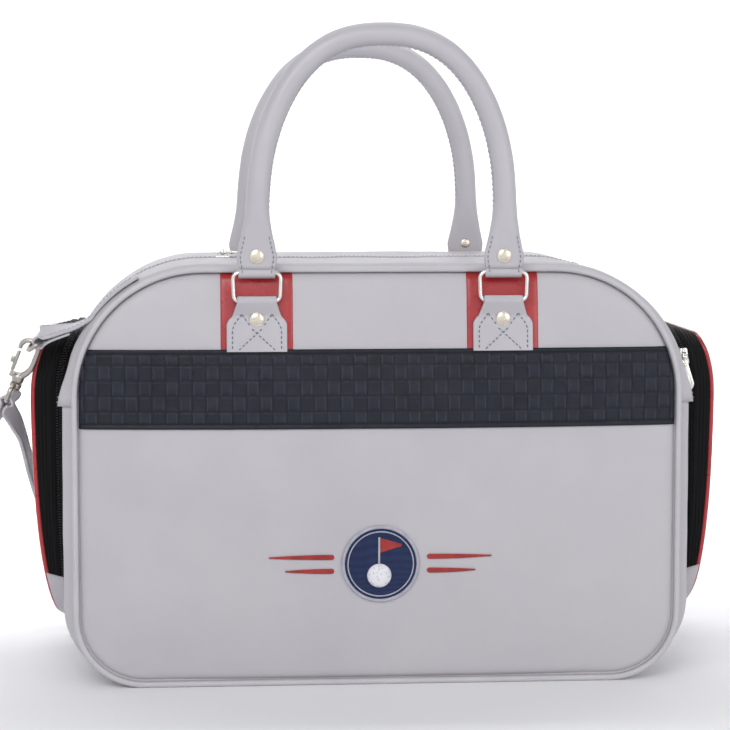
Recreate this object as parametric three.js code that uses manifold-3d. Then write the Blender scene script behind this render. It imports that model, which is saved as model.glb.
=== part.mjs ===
// Golf shoe bag: a boxy two-handled carrying bag with a shoe pocket on each end.
// Units are millimetres. +Z is up, +X runs along the bag's width, and the front faces -Y.
// The origin is the middle of the underside.
import * as THREE from "three";
import Module from "manifold-3d";
import { mergeVertices } from "three/addons/utils/BufferGeometryUtils.js";

const wasm = await Module();
wasm.setup();

// ---- Driving dimensions ----
const WIDTH = 450; // body, across the piping
const HEIGHT = 310;
const DEPTH = 220; // seam to seam, front to back
const TOP_CORNER = 95; // corner radii of the front outline
const BASE_CORNER = 52;
const CROWN = 12; // how far the padded panels bulge
const SKIN = 3; // leather with its foam
const GAP = 0.4; // clearance between neighbouring layers
const PIPING_R = 2.2;
const BAND_TOP = 250; // woven band on the front and the back
const BAND_HEIGHT = 58;
const HANDLE_X = 90; // half the spacing of a handle's feet
const HANDLE_RISE = 172; // handle's centre line above its upper ring bar
const GRIP_R = 8;
const GRIP_BULGE = 6; // how far the handle's legs bow outwards
const LOOP_WIDTH = 26; // leather loops that hold a ring
const LOOP_R = 3.7;
const RING_WIRE_R = 1.5;
const RING_WIDTH = 34.5; // ring, bar centre to bar centre
const RING_HEIGHT = 21;
const BAR_HOLE_R = 2; // hole in a leather loop for a ring's bar
const TAB_WIDTH = 45;
const ACCENT_WIDTH = 53;
const LOWER_BAR_Z = 285;
const LOOP_LIFT = 6.5; // ring bar in front of the panel
const POCKET_HALF = 80; // shoe pocket, half its size front to back
const POCKET_BASE = 42;
const POCKET_TOP = 264;
const POCKET_REACH = 30.5; // how far the pocket stands out at its fullest
const POCKET_BASE_REACH = 9;
const POCKET_FULL_Z = 205; // above this the pocket draws in towards the body
const POCKET_DRAW_IN = 15;
const ZIP_SHARE = 0.33; // zip line, as a share of the pocket's reach
const STRAP_WIDTH = 20;
const STRAP_SKIN = 3;

const ARC_STEPS = 7; // segments in each corner of the body's outline
const half = WIDTH / 2;
const seamY = DEPTH / 2;
const middleZ = HEIGHT / 2;
const bag = new THREE.Group();

// ---- Materials ----
const finish = (color, roughness, metalness = 0) =>
  new THREE.MeshStandardMaterial({ color, roughness, metalness });
const MATERIALS = {
  whiteLeather: finish(0xd6d3da, 0.45),
  navyWeave: finish(0x1d2534, 0.5),
  redPatent: finish(0xb5262c, 0.3),
  blackNylon: finish(0x14161a, 0.8),
  lining: finish(0x33363d, 0.9),
  board: finish(0x222222, 0.7),
  nickel: finish(0xb9b2a4, 0.3, 1),
  badge: finish(0x1c2a52, 0.6),
};

// ---- Solid building ----
// Joins rings of points (each ring the same length) into one closed solid, capped or closed on itself.
function loft(rings, closed = false) {
  const count = rings[0].length;
  const positions = rings.flat().flatMap((p) => [p.x, p.y, p.z]);
  const index = [];
  const spans = closed ? rings.length : rings.length - 1;
  for (let i = 0; i < spans; i++) {
    const a = i * count;
    const b = ((i + 1) % rings.length) * count;
    for (let j = 0; j < count; j++) {
      const k = (j + 1) % count;
      index.push(a + j, b + j, b + k, a + j, b + k, a + k);
    }
  }
  if (!closed) {
    [0, rings.length - 1].forEach((ring) => {
      const centre = new THREE.Vector3();
      rings[ring].forEach((p) => centre.addScaledVector(p, 1 / count));
      const hub = positions.length / 3;
      positions.push(centre.x, centre.y, centre.z);
      for (let j = 0; j < count; j++) {
        const rim = [ring * count + j, ring * count + ((j + 1) % count)];
        if (ring) rim.reverse();
        index.push(hub, ...rim);
      }
    });
  }
  return facingOut(positions, index);
}

function facingOut(positions, index) {
  const point = (i) => new THREE.Vector3().fromArray(positions, 3 * i);
  let volume = 0;
  for (let i = 0; i < index.length; i += 3) {
    volume += point(index[i]).dot(point(index[i + 1]).cross(point(index[i + 2])));
  }
  if (volume < 0) index.reverse();
  const geometry = new THREE.BufferGeometry();
  geometry.setAttribute("position", new THREE.Float32BufferAttribute(positions, 3));
  geometry.setIndex(index);
  return geometry;
}

function toManifold(geometry) {
  const bare = geometry.clone();
  bare.deleteAttribute("normal");
  bare.deleteAttribute("uv");
  const merged = mergeVertices(bare, 1e-4);
  return new wasm.Manifold(
    new wasm.Mesh({
      numProp: 3,
      vertProperties: new Float32Array(merged.attributes.position.array),
      triVerts: new Uint32Array(merged.index.array),
    }),
  );
}

function fromManifold(solid) {
  const mesh = solid.getMesh();
  const geometry = new THREE.BufferGeometry();
  geometry.setAttribute("position", new THREE.BufferAttribute(mesh.vertProperties, 3));
  geometry.setIndex(new THREE.BufferAttribute(mesh.triVerts, 1));
  return geometry;
}

const cut = (geometry, ...tools) =>
  fromManifold(tools.reduce((s, t) => s.subtract(toManifold(t)), toManifold(geometry)));
const join = (...parts) =>
  fromManifold(parts.map(toManifold).reduce((s, t) => s.add(t)));

// A rod along axis "x", "y" or "z", centred on a point.
function rod(axis, radius, length, centre, sides = 10) {
  const geometry = new THREE.CylinderGeometry(radius, radius, length, sides);
  if (axis === "x") geometry.rotateZ(Math.PI / 2);
  if (axis === "z") geometry.rotateX(Math.PI / 2);
  return geometry.translate(centre.x, centre.y, centre.z);
}

const block = (sx, sy, sz, centre) =>
  new THREE.BoxGeometry(sx, sy, sz).translate(centre.x, centre.y, centre.z);

const V = (x, y, z) => new THREE.Vector3(x, y, z);

function add(name, geometry, material) {
  const mesh = new THREE.Mesh(geometry, material);
  mesh.name = name;
  bag.add(mesh);
  return mesh;
}

// Mirrors a geometry through the plane y = 0 or x = 0.
function mirrored(geometry, axis) {
  const copy = geometry.index ? geometry.clone() : mergeVertices(geometry.clone());
  const scale = axis === "y" ? [1, -1, 1] : [-1, 1, 1];
  copy.scale(...scale);
  return facingOut(Array.from(copy.attributes.position.array), Array.from(copy.index.array));
}

// A closed section of points around a frame: an oval of half sizes a along u and b along v.
function oval(centre, u, v, a, b, sides) {
  return Array.from({ length: sides }, (_, i) => {
    const t = (2 * Math.PI * (i + 0.5)) / sides;
    return centre.clone().addScaledVector(u, a * Math.cos(t)).addScaledVector(v, b * Math.sin(t));
  });
}

// A tube along a closed loop of points that lies in the plane whose normal is given.
function loopTube(points, normal, radius, sides) {
  const rings = points.map((p, i) => {
    const before = points[(i + points.length - 1) % points.length];
    const after = points[(i + 1) % points.length];
    const tangent = after.clone().sub(before).normalize();
    return oval(p, tangent.cross(normal).normalize(), normal, radius, radius, sides);
  });
  return loft(rings, true);
}

// ---- Body outline, in the XZ plane ----
// Closed loop of [x, z], anticlockwise from the left end of the base, moved inwards by inset.
function outline(inset) {
  const points = [];
  const corner = (cx, cz, radius, from) => {
    for (let i = 0; i <= ARC_STEPS; i++) {
      const t = from + (i / ARC_STEPS) * (Math.PI / 2);
      points.push([cx + (radius - inset) * Math.cos(t), cz + (radius - inset) * Math.sin(t)]);
    }
  };
  const baseX = half - BASE_CORNER;
  const topX = half - TOP_CORNER;
  const topZ = HEIGHT - TOP_CORNER;
  corner(-baseX, BASE_CORNER, BASE_CORNER, Math.PI);
  corner(baseX, BASE_CORNER, BASE_CORNER, 1.5 * Math.PI);
  corner(topX, topZ, TOP_CORNER, 0);
  corner(-topX, topZ, TOP_CORNER, 0.5 * Math.PI);
  return points;
}

// Half the body's width at a height.
function halfWidth(z, inset = 0) {
  const base = Math.max(0, BASE_CORNER - z);
  const top = Math.max(0, z - (HEIGHT - TOP_CORNER));
  const radius = (base ? BASE_CORNER : TOP_CORNER) - inset;
  const drop = Math.max(base, top);
  return half - inset - radius + Math.sqrt(Math.max(0, radius * radius - drop * drop));
}

// How far a padded panel stands out of its seam plane.
function crown(x, z) {
  const power = 4.5;
  const reach =
    Math.pow(Math.abs(x) / half, power) + Math.pow(Math.abs(z - middleZ) / middleZ, power);
  return CROWN * Math.max(0, 1 - Math.pow(reach, 2.2 / power));
}

// ---- Panels, gussets and piping ----
const PANEL_EDGE = 2 * PIPING_R + GAP;

function makePanel() {
  const levels = [0.35, 0.68, 0.9, 1];
  const edge = outline(PANEL_EDGE);
  const ring = (share, depth) =>
    edge.map(([x, z]) => {
      const px = x * share;
      const pz = middleZ + (z - middleZ) * share;
      const lift = share === 1 ? 0 : crown(px, pz);
      return V(px, -(seamY + lift) + depth, pz);
    });
  const outer = levels.map((k) => ring(k, 0));
  const inner = [...levels].reverse().map((k) => ring(k, SKIN));
  return loft([...outer, ...inner]);
}

// A strip of leather that follows the outline between two indices of its points.
function gussetStrip(from, to, y0, y1, inset, thickness) {
  const outer = outline(inset);
  const inner = outline(inset + thickness);
  const rings = [];
  for (let i = from; i <= to; i++) {
    const k = i % outer.length;
    const [ox, oz] = outer[k];
    const [ix, iz] = inner[k];
    rings.push([V(ox, y0, oz), V(ox, y1, oz), V(ix, y1, iz), V(ix, y0, iz)]);
  }
  return loft(rings);
}

const CORNER_POINTS = ARC_STEPS + 1;
const RIGHT_TOP = 2 * CORNER_POINTS; // first outline point of the right top corner
const LEFT_TOP_END = 4 * CORNER_POINTS - 1;
const gussetY = seamY - SKIN - GAP;
const ZIP_HALF = 6;

function addShell() {
  const panel = makePanel();
  const holes = [-1, 1].map((side) =>
    rod("y", RIVET_HOLE_R, 60, V(side * HANDLE_X, -seamY, TAB_RIVET_Z)),
  );
  const front = cut(panel, ...holes);
  add("front_panel", front, MATERIALS.whiteLeather);
  add("back_panel", mirrored(front, "y"), MATERIALS.whiteLeather);

  const topStrip = gussetStrip(RIGHT_TOP, LEFT_TOP_END, -gussetY, -ZIP_HALF - GAP, 0, SKIN);
  add("top_gusset_front", topStrip, MATERIALS.whiteLeather);
  add("top_gusset_back", mirrored(topStrip, "y"), MATERIALS.whiteLeather);
  const chain = gussetStrip(RIGHT_TOP, LEFT_TOP_END, -ZIP_HALF, ZIP_HALF, 0.8, 1.6);
  add("main_zip_chain", chain, MATERIALS.blackNylon);

  add("body_gusset", makeBodyGusset(), MATERIALS.whiteLeather);

  const cordY = -(seamY - PIPING_R + GAP + 1.4);
  const cord = outline(PIPING_R).map(([x, z]) => V(x, cordY, z));
  const piping = loopTube(cord, V(0, 1, 0), PIPING_R, 6);
  add("front_piping", piping, MATERIALS.whiteLeather);
  add("back_piping", mirrored(piping, "y"), MATERIALS.whiteLeather);
}

// The sides and the base in one U-shaped strip, stopping just short of the top gusset.
function makeBodyGusset() {
  const outer = outline(0);
  const inner = outline(SKIN);
  const topZ = HEIGHT - TOP_CORNER - GAP;
  const section = (ox, oz, ix, iz) => [
    V(ox, -gussetY, oz),
    V(ox, gussetY, oz),
    V(ix, gussetY, iz),
    V(ix, -gussetY, iz),
  ];
  const rings = [section(-half, topZ, -half + SKIN, topZ)];
  for (let i = 0; i < RIGHT_TOP; i++) rings.push(section(...outer[i], ...inner[i]));
  rings.push(section(half, topZ, half - SKIN, topZ));
  return loft(rings);
}

// ---- Layers on the panels ----
// A flat shape in XZ, wrapped on the panel's crown between two lifts.
function wrapOnPanel(rows, lift, thickness) {
  const place = (x, z, up) => V(x, -(seamY + crown(x, z) + up), z);
  const face = (up) => rows.map((row) => row.map(([x, z]) => place(x, z, up)));
  const front = face(lift + thickness);
  const back = face(lift);
  const rings = rows.map((_, i) => [...front[i], ...back[i].reverse()]);
  return loft(rings);
}

// The woven band is as wide as the panel at each height.
function makeBand() {
  const columns = 14;
  const inset = PANEL_EDGE + GAP;
  const rows = [];
  for (let i = 0; i <= columns; i++) {
    const share = -1 + (2 * i) / columns;
    const column = [0, 0.5, 1].map((k) => {
      const z = BAND_TOP - k * BAND_HEIGHT;
      return [share * (halfWidth(z, inset) - GAP), z];
    });
    rows.push(column);
  }
  return wrapOnPanel(rows, 0.8, 2);
}

const TAB_RIVET_Z = 272;
const RIVET_HOLE_R = 2.3;
const ACCENT_TOP = HEIGHT - PANEL_EDGE - 2.5;
const ACCENT_LIFT = 0.5;
const ACCENT_SKIN = 0.8;
const TAB_LIFT = 1.8;
const TAB_SKIN = 2.4;
const barY = -(seamY + crown(HANDLE_X, LOWER_BAR_Z) + LOOP_LIFT);
const upperBarZ = LOWER_BAR_Z + RING_HEIGHT;

function makeAccent(side) {
  const x0 = side * HANDLE_X - ACCENT_WIDTH / 2;
  const rows = [0, 0.5, 1].map((k) => {
    const x = x0 + k * ACCENT_WIDTH;
    return [
      [x, ACCENT_TOP],
      [x, (ACCENT_TOP + BAND_TOP) / 2],
      [x, BAND_TOP + GAP],
    ];
  });
  const hole = rod("y", RIVET_HOLE_R, 60, V(side * HANDLE_X, -seamY, TAB_RIVET_Z));
  return cut(wrapOnPanel(rows, ACCENT_LIFT, ACCENT_SKIN), hole);
}

// A leather strap whose sections are given as {x, y, z, a, b}: half width a along X, half thickness b along Y.
function leatherEnd(sections, sides = 8) {
  const rings = sections.map((s) => {
    const centre = V(s.x, s.y, s.z);
    return oval(centre, V(1, 0, 0), V(0, 1, 0), s.a, s.b, sides).map((p) => {
      p.x = centre.x + Math.sign(p.x - centre.x) * Math.min(s.a, 1.08 * Math.abs(p.x - centre.x));
      p.y = centre.y + Math.sign(p.y - centre.y) * Math.min(s.b, 1.5 * Math.abs(p.y - centre.y));
      return p;
    });
  });
  return loft(rings);
}

// The tab sewn on the panel, with the loop at its top that holds the ring's lower bar.
function makeTab(side) {
  const x = side * HANDLE_X;
  const neck = LOOP_WIDTH / 2;
  const wide = TAB_WIDTH / 2;
  const onPanel = (z) => -(seamY + crown(x, z) + TAB_LIFT + TAB_SKIN / 2);
  const flat = TAB_SKIN / 2;
  const sections = [
    { z: BAND_TOP + GAP, y: onPanel(BAND_TOP), a: wide, b: flat },
    { z: 262, y: onPanel(262), a: wide, b: flat },
    { z: 269, y: onPanel(269), a: wide - 1, b: flat },
    { z: 275, y: onPanel(275), a: neck + 4.5, b: flat },
    { z: 279.5, y: onPanel(279) - 1, a: neck, b: flat + 0.6 },
    { z: LOWER_BAR_Z - 2, y: barY + 0.4, a: neck, b: LOOP_R - 0.5 },
    { z: LOWER_BAR_Z, y: barY, a: neck, b: LOOP_R },
    { z: LOWER_BAR_Z + 2.4, y: barY, a: neck, b: LOOP_R - 1 },
    { z: LOWER_BAR_Z + LOOP_R, y: barY, a: neck, b: 0.8 },
  ].map((s) => ({ x, ...s }));
  const bar = rod("x", BAR_HOLE_R, TAB_WIDTH, V(x, barY, LOWER_BAR_Z), 8);
  const rivet = rod("y", RIVET_HOLE_R, 60, V(x, -seamY, TAB_RIVET_Z));
  return cut(leatherEnd(sections), bar, rivet);
}

// A rivet along Y: a domed head on the outside, a shank and a flat washer on the inside.
function makeRivet(x, z, outsideY, insideY, headR) {
  const shank = 1.8;
  const profile = [
    [0, insideY + 1.2],
    [headR - 1, insideY + 1.2],
    [headR - 1, insideY],
    [shank, insideY],
    [shank, outsideY],
    [headR, outsideY],
    [headR * 0.9, outsideY - 1.1],
    [headR * 0.5, outsideY - 1.7],
    [0, outsideY - 1.8],
  ].map(([r, y]) => new THREE.Vector2(r, y));
  const turned = new THREE.LatheGeometry(profile, 12).translate(x, 0, z);
  const flat = mergeVertices(stripped(turned), 1e-4);
  return facingOut(Array.from(flat.attributes.position.array), Array.from(flat.index.array));
}

function stripped(geometry) {
  geometry.deleteAttribute("normal");
  geometry.deleteAttribute("uv");
  return geometry;
}

function addFrontLayers() {
  const sides = [
    ["left", -1],
    ["right", 1],
  ];
  const band = makeBand();
  add("front_woven_band", band, MATERIALS.navyWeave);
  add("back_woven_band", mirrored(band, "y"), MATERIALS.navyWeave);
  for (const [word, side] of sides) {
    const x = side * HANDLE_X;
    const surface = seamY + crown(x, TAB_RIVET_Z);
    const head = -(surface + TAB_LIFT + TAB_SKIN + 0.9);
    const washer = -(surface - SKIN - 1.8);
    const pieces = {
      accent: [makeAccent(side), MATERIALS.redPatent],
      handle_tab: [makeTab(side), MATERIALS.whiteLeather],
      tab_rivet: [makeRivet(x, TAB_RIVET_Z, head, washer, 5), MATERIALS.nickel],
    };
    for (const [name, [geometry, material]] of Object.entries(pieces)) {
      add(`front_${word}_${name}`, geometry, material);
      add(`back_${word}_${name}`, mirrored(geometry, "y"), material);
    }
  }
  const badgeZ = 92;
  const badge = new THREE.CylinderGeometry(27, 27, 1.6, 20);
  badge.translate(0, -(seamY + crown(0, badgeZ) + 1.6), badgeZ);
  add("front_badge", stripped(badge), MATERIALS.badge);
}

// ---- Handles and their rings ----
function makeRing(side) {
  const points = [];
  const radius = 4;
  const w = RING_WIDTH / 2 - radius;
  const h = RING_HEIGHT / 2 - radius;
  const centreZ = LOWER_BAR_Z + RING_HEIGHT / 2;
  [[w, h, 0], [-w, h, 1], [-w, -h, 2], [w, -h, 3]].forEach(([cx, cz, turn]) => {
    for (let i = 0; i <= 4; i++) {
      const t = ((turn + i / 4) * Math.PI) / 2;
      const px = cx + radius * Math.cos(t);
      points.push(V(side * HANDLE_X + px, barY, centreZ + cz + radius * Math.sin(t)));
    }
  });
  return loopTube(points, V(0, 1, 0), RING_WIRE_R, 6);
}

// Centre line of the handle at a share of its length, 0 at the left foot and 1 at the right.
function handlePath(share) {
  const t = Math.PI * (1 - share);
  const shape = 0.82; // below 1 squares the arch's shoulders a little
  const reach = HANDLE_X + GRIP_BULGE;
  const c = Math.cos(t);
  const s = Math.sin(t);
  const x = reach * Math.sign(c) * Math.pow(Math.abs(c), shape) - GRIP_BULGE * c ** 21;
  return V(x, barY, upperBarZ + HANDLE_RISE * Math.pow(s, shape));
}

const FLARE = 44; // length of the flattened, flared foot
const HANDLE_RIVET_UP = 12; // rivet above the upper bar

function makeHandle() {
  const steps = 18;
  const rings = [];
  const foot = (side) => {
    const x = side * HANDLE_X;
    const neck = LOOP_WIDTH / 2;
    return [
      [-LOOP_R, neck, 0.8],
      [-2.4, neck, LOOP_R - 1],
      [0, neck, LOOP_R],
      [3.5, neck, LOOP_R - 0.5],
      [HANDLE_RIVET_UP - 5, neck + 1, 3],
      [HANDLE_RIVET_UP + 5, neck + 0.5, 3.2],
    ].map(([up, a, b]) =>
      oval(V(x, barY, upperBarZ + up), V(-side, 0, 0), V(0, 1, 0), a, b, 8),
    );
  };
  rings.push(...foot(-1));
  for (let i = 0; i <= steps; i++) {
    const share = 0.045 + (i / steps) * 0.91;
    const p = handlePath(share);
    const tangent = handlePath(share + 0.01).sub(handlePath(share - 0.01)).normalize();
    const rise = p.z - upperBarZ;
    const blend = Math.min(1, Math.max(0, (rise - HANDLE_RIVET_UP) / (FLARE - HANDLE_RIVET_UP)));
    const ease = blend * blend * (3 - 2 * blend);
    const a = (LOOP_WIDTH / 2) * (1 - ease) + GRIP_R * ease;
    const b = 3.4 * (1 - ease) + GRIP_R * ease;
    rings.push(oval(p, V(tangent.z, 0, -tangent.x), V(0, 1, 0), a, b, 8));
  }
  rings.push(...foot(1).reverse());
  const tools = [];
  for (const side of [-1, 1]) {
    const x = side * HANDLE_X;
    tools.push(rod("x", BAR_HOLE_R, TAB_WIDTH, V(x, barY, upperBarZ), 8));
    tools.push(rod("y", RIVET_HOLE_R, 30, V(x, barY, upperBarZ + HANDLE_RIVET_UP), 8));
  }
  return cut(loft(rings), ...tools);
}

function addHandles() {
  const handle = makeHandle();
  add("front_handle", handle, MATERIALS.whiteLeather);
  add("back_handle", mirrored(handle, "y"), MATERIALS.whiteLeather);
  for (const [word, side] of [
    ["left", -1],
    ["right", 1],
  ]) {
    const ring = makeRing(side);
    const rivetZ = upperBarZ + HANDLE_RIVET_UP;
    const rivet = makeRivet(side * HANDLE_X, rivetZ, barY - 3.9, barY + 3.9, 5);
    add(`front_${word}_ring`, ring, MATERIALS.nickel);
    add(`back_${word}_ring`, mirrored(ring, "y"), MATERIALS.nickel);
    add(`front_${word}_handle_rivet`, rivet, MATERIALS.nickel);
    add(`back_${word}_handle_rivet`, mirrored(rivet, "y"), MATERIALS.nickel);
  }
}

// ---- Shoe pockets on the ends ----
// The right pocket's zip closes at the front and the left one's at the back.
// The pocket's outline in the YZ plane. Grow 0 is the edge on the body and 1 the outer edge.
const POCKET_STEPS = [110, 165, 214, 222, 230]; // heights of the points along the pocket's upright edges

function pocketLoop(share, inset, depthAt) {
  const base = POCKET_BASE + 6 * share + inset;
  const top = POCKET_TOP - 7 * share - inset;
  const wide = POCKET_HALF - inset;
  const radii = { base: 30 - inset, top: 18 - inset };
  const points = [];
  [
    [wide, top, radii.top, 0],
    [-wide, top, radii.top, 1],
    [-wide, base, radii.base, 2],
    [wide, base, radii.base, 3],
  ].forEach(([y, z, r, turn]) => {
    const cy = y - Math.sign(y) * r;
    const cz = turn < 2 ? z - r : z + r;
    for (let i = 0; i <= 5; i++) {
      const t = ((turn + i / 5) * Math.PI) / 2;
      const pz = cz + r * Math.sin(t);
      points.push(V(depthAt(pz), cy + r * Math.cos(t), pz));
    }
    const run = { 1: [...POCKET_STEPS].reverse(), 3: POCKET_STEPS }[turn] ?? [];
    run.forEach((pz) => points.push(V(depthAt(pz), Math.sign(y) * wide, pz)));
  });
  return points;
}

const bodyX = (z) => halfWidth(z) + 0.6;

// How far out the pocket's outer edge lies at a height: it fills quickly above the base and rounds in at the top.
function outerX(z) {
  const fill = 1 - Math.exp(-(z - POCKET_BASE) / 50);
  const high = Math.max(0, z - POCKET_FULL_Z) / (POCKET_TOP - 2 - POCKET_FULL_Z);
  const drawn = POCKET_DRAW_IN * Math.pow(high, 2.6);
  return half + POCKET_BASE_REACH + (POCKET_REACH - POCKET_BASE_REACH) * fill - drawn;
}

// A loop between the body (share 0) and the outer edge (share 1).
function pocketBetween(share, inset, push = 0) {
  const inner = pocketLoop(0, inset, bodyX);
  const outer = pocketLoop(1, inset, outerX);
  return inner.map((p, i) => {
    const q = p.clone().lerp(outer[i], share);
    q.x += push;
    return q;
  });
}

function makePocketWall() {
  const rings = [
    pocketBetween(0, 0),
    pocketBetween(ZIP_SHARE, 0, -0.3),
    pocketBetween(ZIP_SHARE, 2, -0.3),
    pocketBetween(0, 2),
  ];
  return loft(rings, true);
}

function makePocketFlap() {
  const cord = 2.6;
  const middle = V(0, 0, (POCKET_BASE + POCKET_TOP) / 2);
  const face = (share, bulge, push) =>
    pocketLoop(1, cord, outerX).map((p) => {
      const q = p.clone();
      q.y = p.y * share;
      q.z = middle.z + (p.z - middle.z) * share;
      q.x = outerX(q.z) + bulge + push;
      return q;
    });
  const outside = [face(0.3, 5, 0), face(0.65, 3.8, 0), face(0.9, 1.4, 0), face(1, 0, 0)];
  const inside = [...outside].reverse().map((ring) => ring.map((p) => p.clone().add(V(-SKIN, 0, 0))));
  const rim = [
    pocketLoop(1, cord, (z) => outerX(z) - 2 * GAP - 2),
    pocketLoop(1, 0, (z) => outerX(z) - 2 * GAP - 2),
    pocketBetween(ZIP_SHARE, 0, 0.3),
    pocketBetween(ZIP_SHARE, 2, 0.3),
    pocketLoop(1, cord + 1.4, (z) => outerX(z) - SKIN - 0.6),
  ];
  return loft([...outside, ...rim, ...inside.slice(1)]);
}

function makePocketPiping() {
  const loop = pocketLoop(1, 0.9, (z) => outerX(z) - 0.6);
  return loopTube(loop, V(1, 0, 0), 1.5, 6);
}

// ---- Zip sliders and pull tabs, made lying on the XY plane with the zip along X ----
const PULL_LENGTH = 27;
const PULL_PIN_R = 0.9;
const PULL_PIN_UP = 5.9;

function makeSlider() {
  const pin = V(0, 0, PULL_PIN_UP);
  return join(
    block(12, 8, 2.6, V(0, 0, 1.3 + GAP)),
    block(2.6, 1.6, 5, V(0, 3, 4.5)),
    block(2.6, 1.6, 5, V(0, -3, 4.5)),
    rod("y", PULL_PIN_R, 7, pin, 8),
  );
}

function makePull() {
  const shape = new THREE.Shape();
  shape.moveTo(1.5, -1.9);
  shape.lineTo(6, -3.6);
  shape.lineTo(PULL_LENGTH - 7, -7);
  shape.absarc(PULL_LENGTH - 7, 0, 7, -Math.PI / 2, Math.PI / 2, false);
  shape.lineTo(6, 3.6);
  shape.lineTo(1.5, 1.9);
  const plate = new THREE.ExtrudeGeometry(shape, { depth: 1.4, bevelEnabled: false, curveSegments: 8 });
  plate.translate(0, 0, PULL_PIN_UP - 0.7);
  const knuckle = rod("y", 2.3, 3.8, V(0, 0, PULL_PIN_UP), 10);
  const hole = rod("y", PULL_PIN_R + 0.4, 12, V(0, 0, PULL_PIN_UP), 8);
  return cut(join(plate, knuckle), hole);
}

function placed(geometry, matrix) {
  return stripped(geometry.clone()).applyMatrix4(matrix);
}

// Puts the slider and pull on a surface: along is the zip's direction, out is away from the cloth.
function zipMatrix(origin, along, out) {
  const side = out.clone().cross(along);
  return new THREE.Matrix4().makeBasis(along, side, out).setPosition(origin);
}

const MAIN_SLIDER_X = -112;
const POCKET_SLIDER_Z = 240;
const POCKET_SLIDE_END_Z = 130;

function addMainZip() {
  const matrix = zipMatrix(V(MAIN_SLIDER_X, 0, HEIGHT), V(1, 0, 0), V(0, 0, 1));
  add("main_zip_slider", placed(makeSlider(), matrix), MATERIALS.nickel);
  add("main_zip_pull", placed(makePull(), matrix), MATERIALS.nickel);
}

function addPockets() {
  const zipX = (z) => bodyX(z) + ZIP_SHARE * (outerX(z) - bodyX(z));
  const lowZ = POCKET_SLIDE_END_Z;
  const along = V(zipX(lowZ) - zipX(POCKET_SLIDER_Z), 0, lowZ - POCKET_SLIDER_Z).normalize();
  const origin = V(zipX(POCKET_SLIDER_Z), -POCKET_HALF, POCKET_SLIDER_Z);
  const matrix = zipMatrix(origin, along, V(0, -1, 0));
  const pieces = {
    pocket_wall: [makePocketWall(), MATERIALS.blackNylon],
    pocket_flap: [makePocketFlap(), MATERIALS.whiteLeather],
    pocket_piping: [makePocketPiping(), MATERIALS.redPatent],
    pocket_zip_slider: [placed(makeSlider(), matrix), MATERIALS.nickel],
    pocket_zip_pull: [placed(makePull(), matrix), MATERIALS.nickel],
  };
  for (const [name, [geometry, material]] of Object.entries(pieces)) {
    add(`right_${name}`, geometry, material);
    const left = mirrored(geometry, "x");
    add(`left_${name}`, name.includes("zip") ? mirrored(left, "y") : left, material);
  }
}

// ---- Shoulder strap: end tabs, D rings, snap hooks and strap ----
// The two ends are on opposite corners: the left one at the front, the right one at the back.
const D_WIRE_R = 1.6;
const D_REACH = 13.2; // half the D ring's straight bar
const D_BOW = 15;
const EYE_LENGTH = 42.5; // from the ring's wire to the eye's lower bar
const Y_AXIS = V(0, 1, 0);

// Each end: the bar's centre and direction, the way its ring lies and the way its hook hangs.
const LEFT_END = {
  tabDegrees: [122, 133, 141, 148],
  bar: V(-246, -95, 259),
  barAxis: V(0.34, 0.82, 0.45).normalize(),
  ringDown: V(-0.624, 0.559, -0.547).normalize(),
  hookDown: V(-0.36, 0.2, -0.91).normalize(),
  gateSide: V(-1, 0, 0),
};
const RIGHT_END = {
  tabDegrees: [58, 44, 31, 20],
  bar: V(239, 95.5, 232),
  barAxis: Y_AXIS,
  ringDown: V(0.45, 0, -0.89).normalize(),
  hookDown: V(0.1, 0, -1).normalize(),
  gateSide: V(1, 0, 0),
};
const ringTip = (end) => end.bar.clone().addScaledVector(end.ringDown, D_BOW);

// The tab leaves the gusset at the top corner and reaches out to its bar, turning to follow it.
function makeStrapTab(end) {
  const side = Math.sign(end.bar.x);
  const radius = TOP_CORNER + STRAP_SKIN / 2 + 0.9;
  const wide = STRAP_WIDTH / 2;
  const stations = end.tabDegrees.map((degrees) => {
    const t = THREE.MathUtils.degToRad(degrees);
    const out = V(Math.cos(t), 0, Math.sin(t));
    const corner = V(side * (half - TOP_CORNER), end.bar.y, HEIGHT - TOP_CORNER);
    return { p: corner.addScaledVector(out, radius), w: Y_AXIS, b: STRAP_SKIN / 2 };
  });
  const start = stations.pop().p;
  const direction = end.bar.clone().sub(start).normalize();
  const length = end.bar.distanceTo(start);
  const sections = [
    [length * 0.4, 1.8],
    [length - 6, 2.2],
    [length - 2.5, LOOP_R - 0.7],
    [length, LOOP_R],
    [length + 2.5, LOOP_R - 1],
    [length + LOOP_R, 0.8],
  ];
  for (const [distance, b] of sections) {
    const p = start.clone().addScaledVector(direction, distance);
    const w = Y_AXIS.clone().lerp(end.barAxis, Math.min(1, distance / length)).normalize();
    stations.push({ p, w, b });
  }
  return cut(sweptStrap(stations), rodAlong(end.barAxis, D_WIRE_R + 0.5, 60, end.bar));
}

// A strap through stations of {p, w, b}: centre, direction of the width and half thickness.
function sweptStrap(stations) {
  const rings = stations.map(({ p, w, b }, i) => {
    const before = stations[Math.max(0, i - 1)].p;
    const after = stations[Math.min(stations.length - 1, i + 1)].p;
    const tangent = after.clone().sub(before).normalize();
    const across = w.clone().addScaledVector(tangent, -w.dot(tangent)).normalize();
    return oval(p, across, tangent.cross(across).normalize(), STRAP_WIDTH / 2, b, 8);
  });
  return loft(rings);
}

function rodAlong(axis, radius, length, centre, sides = 8) {
  const geometry = stripped(new THREE.CylinderGeometry(radius, radius, length, sides));
  geometry.applyQuaternion(new THREE.Quaternion().setFromUnitVectors(Y_AXIS, axis));
  return geometry.translate(centre.x, centre.y, centre.z);
}

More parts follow.
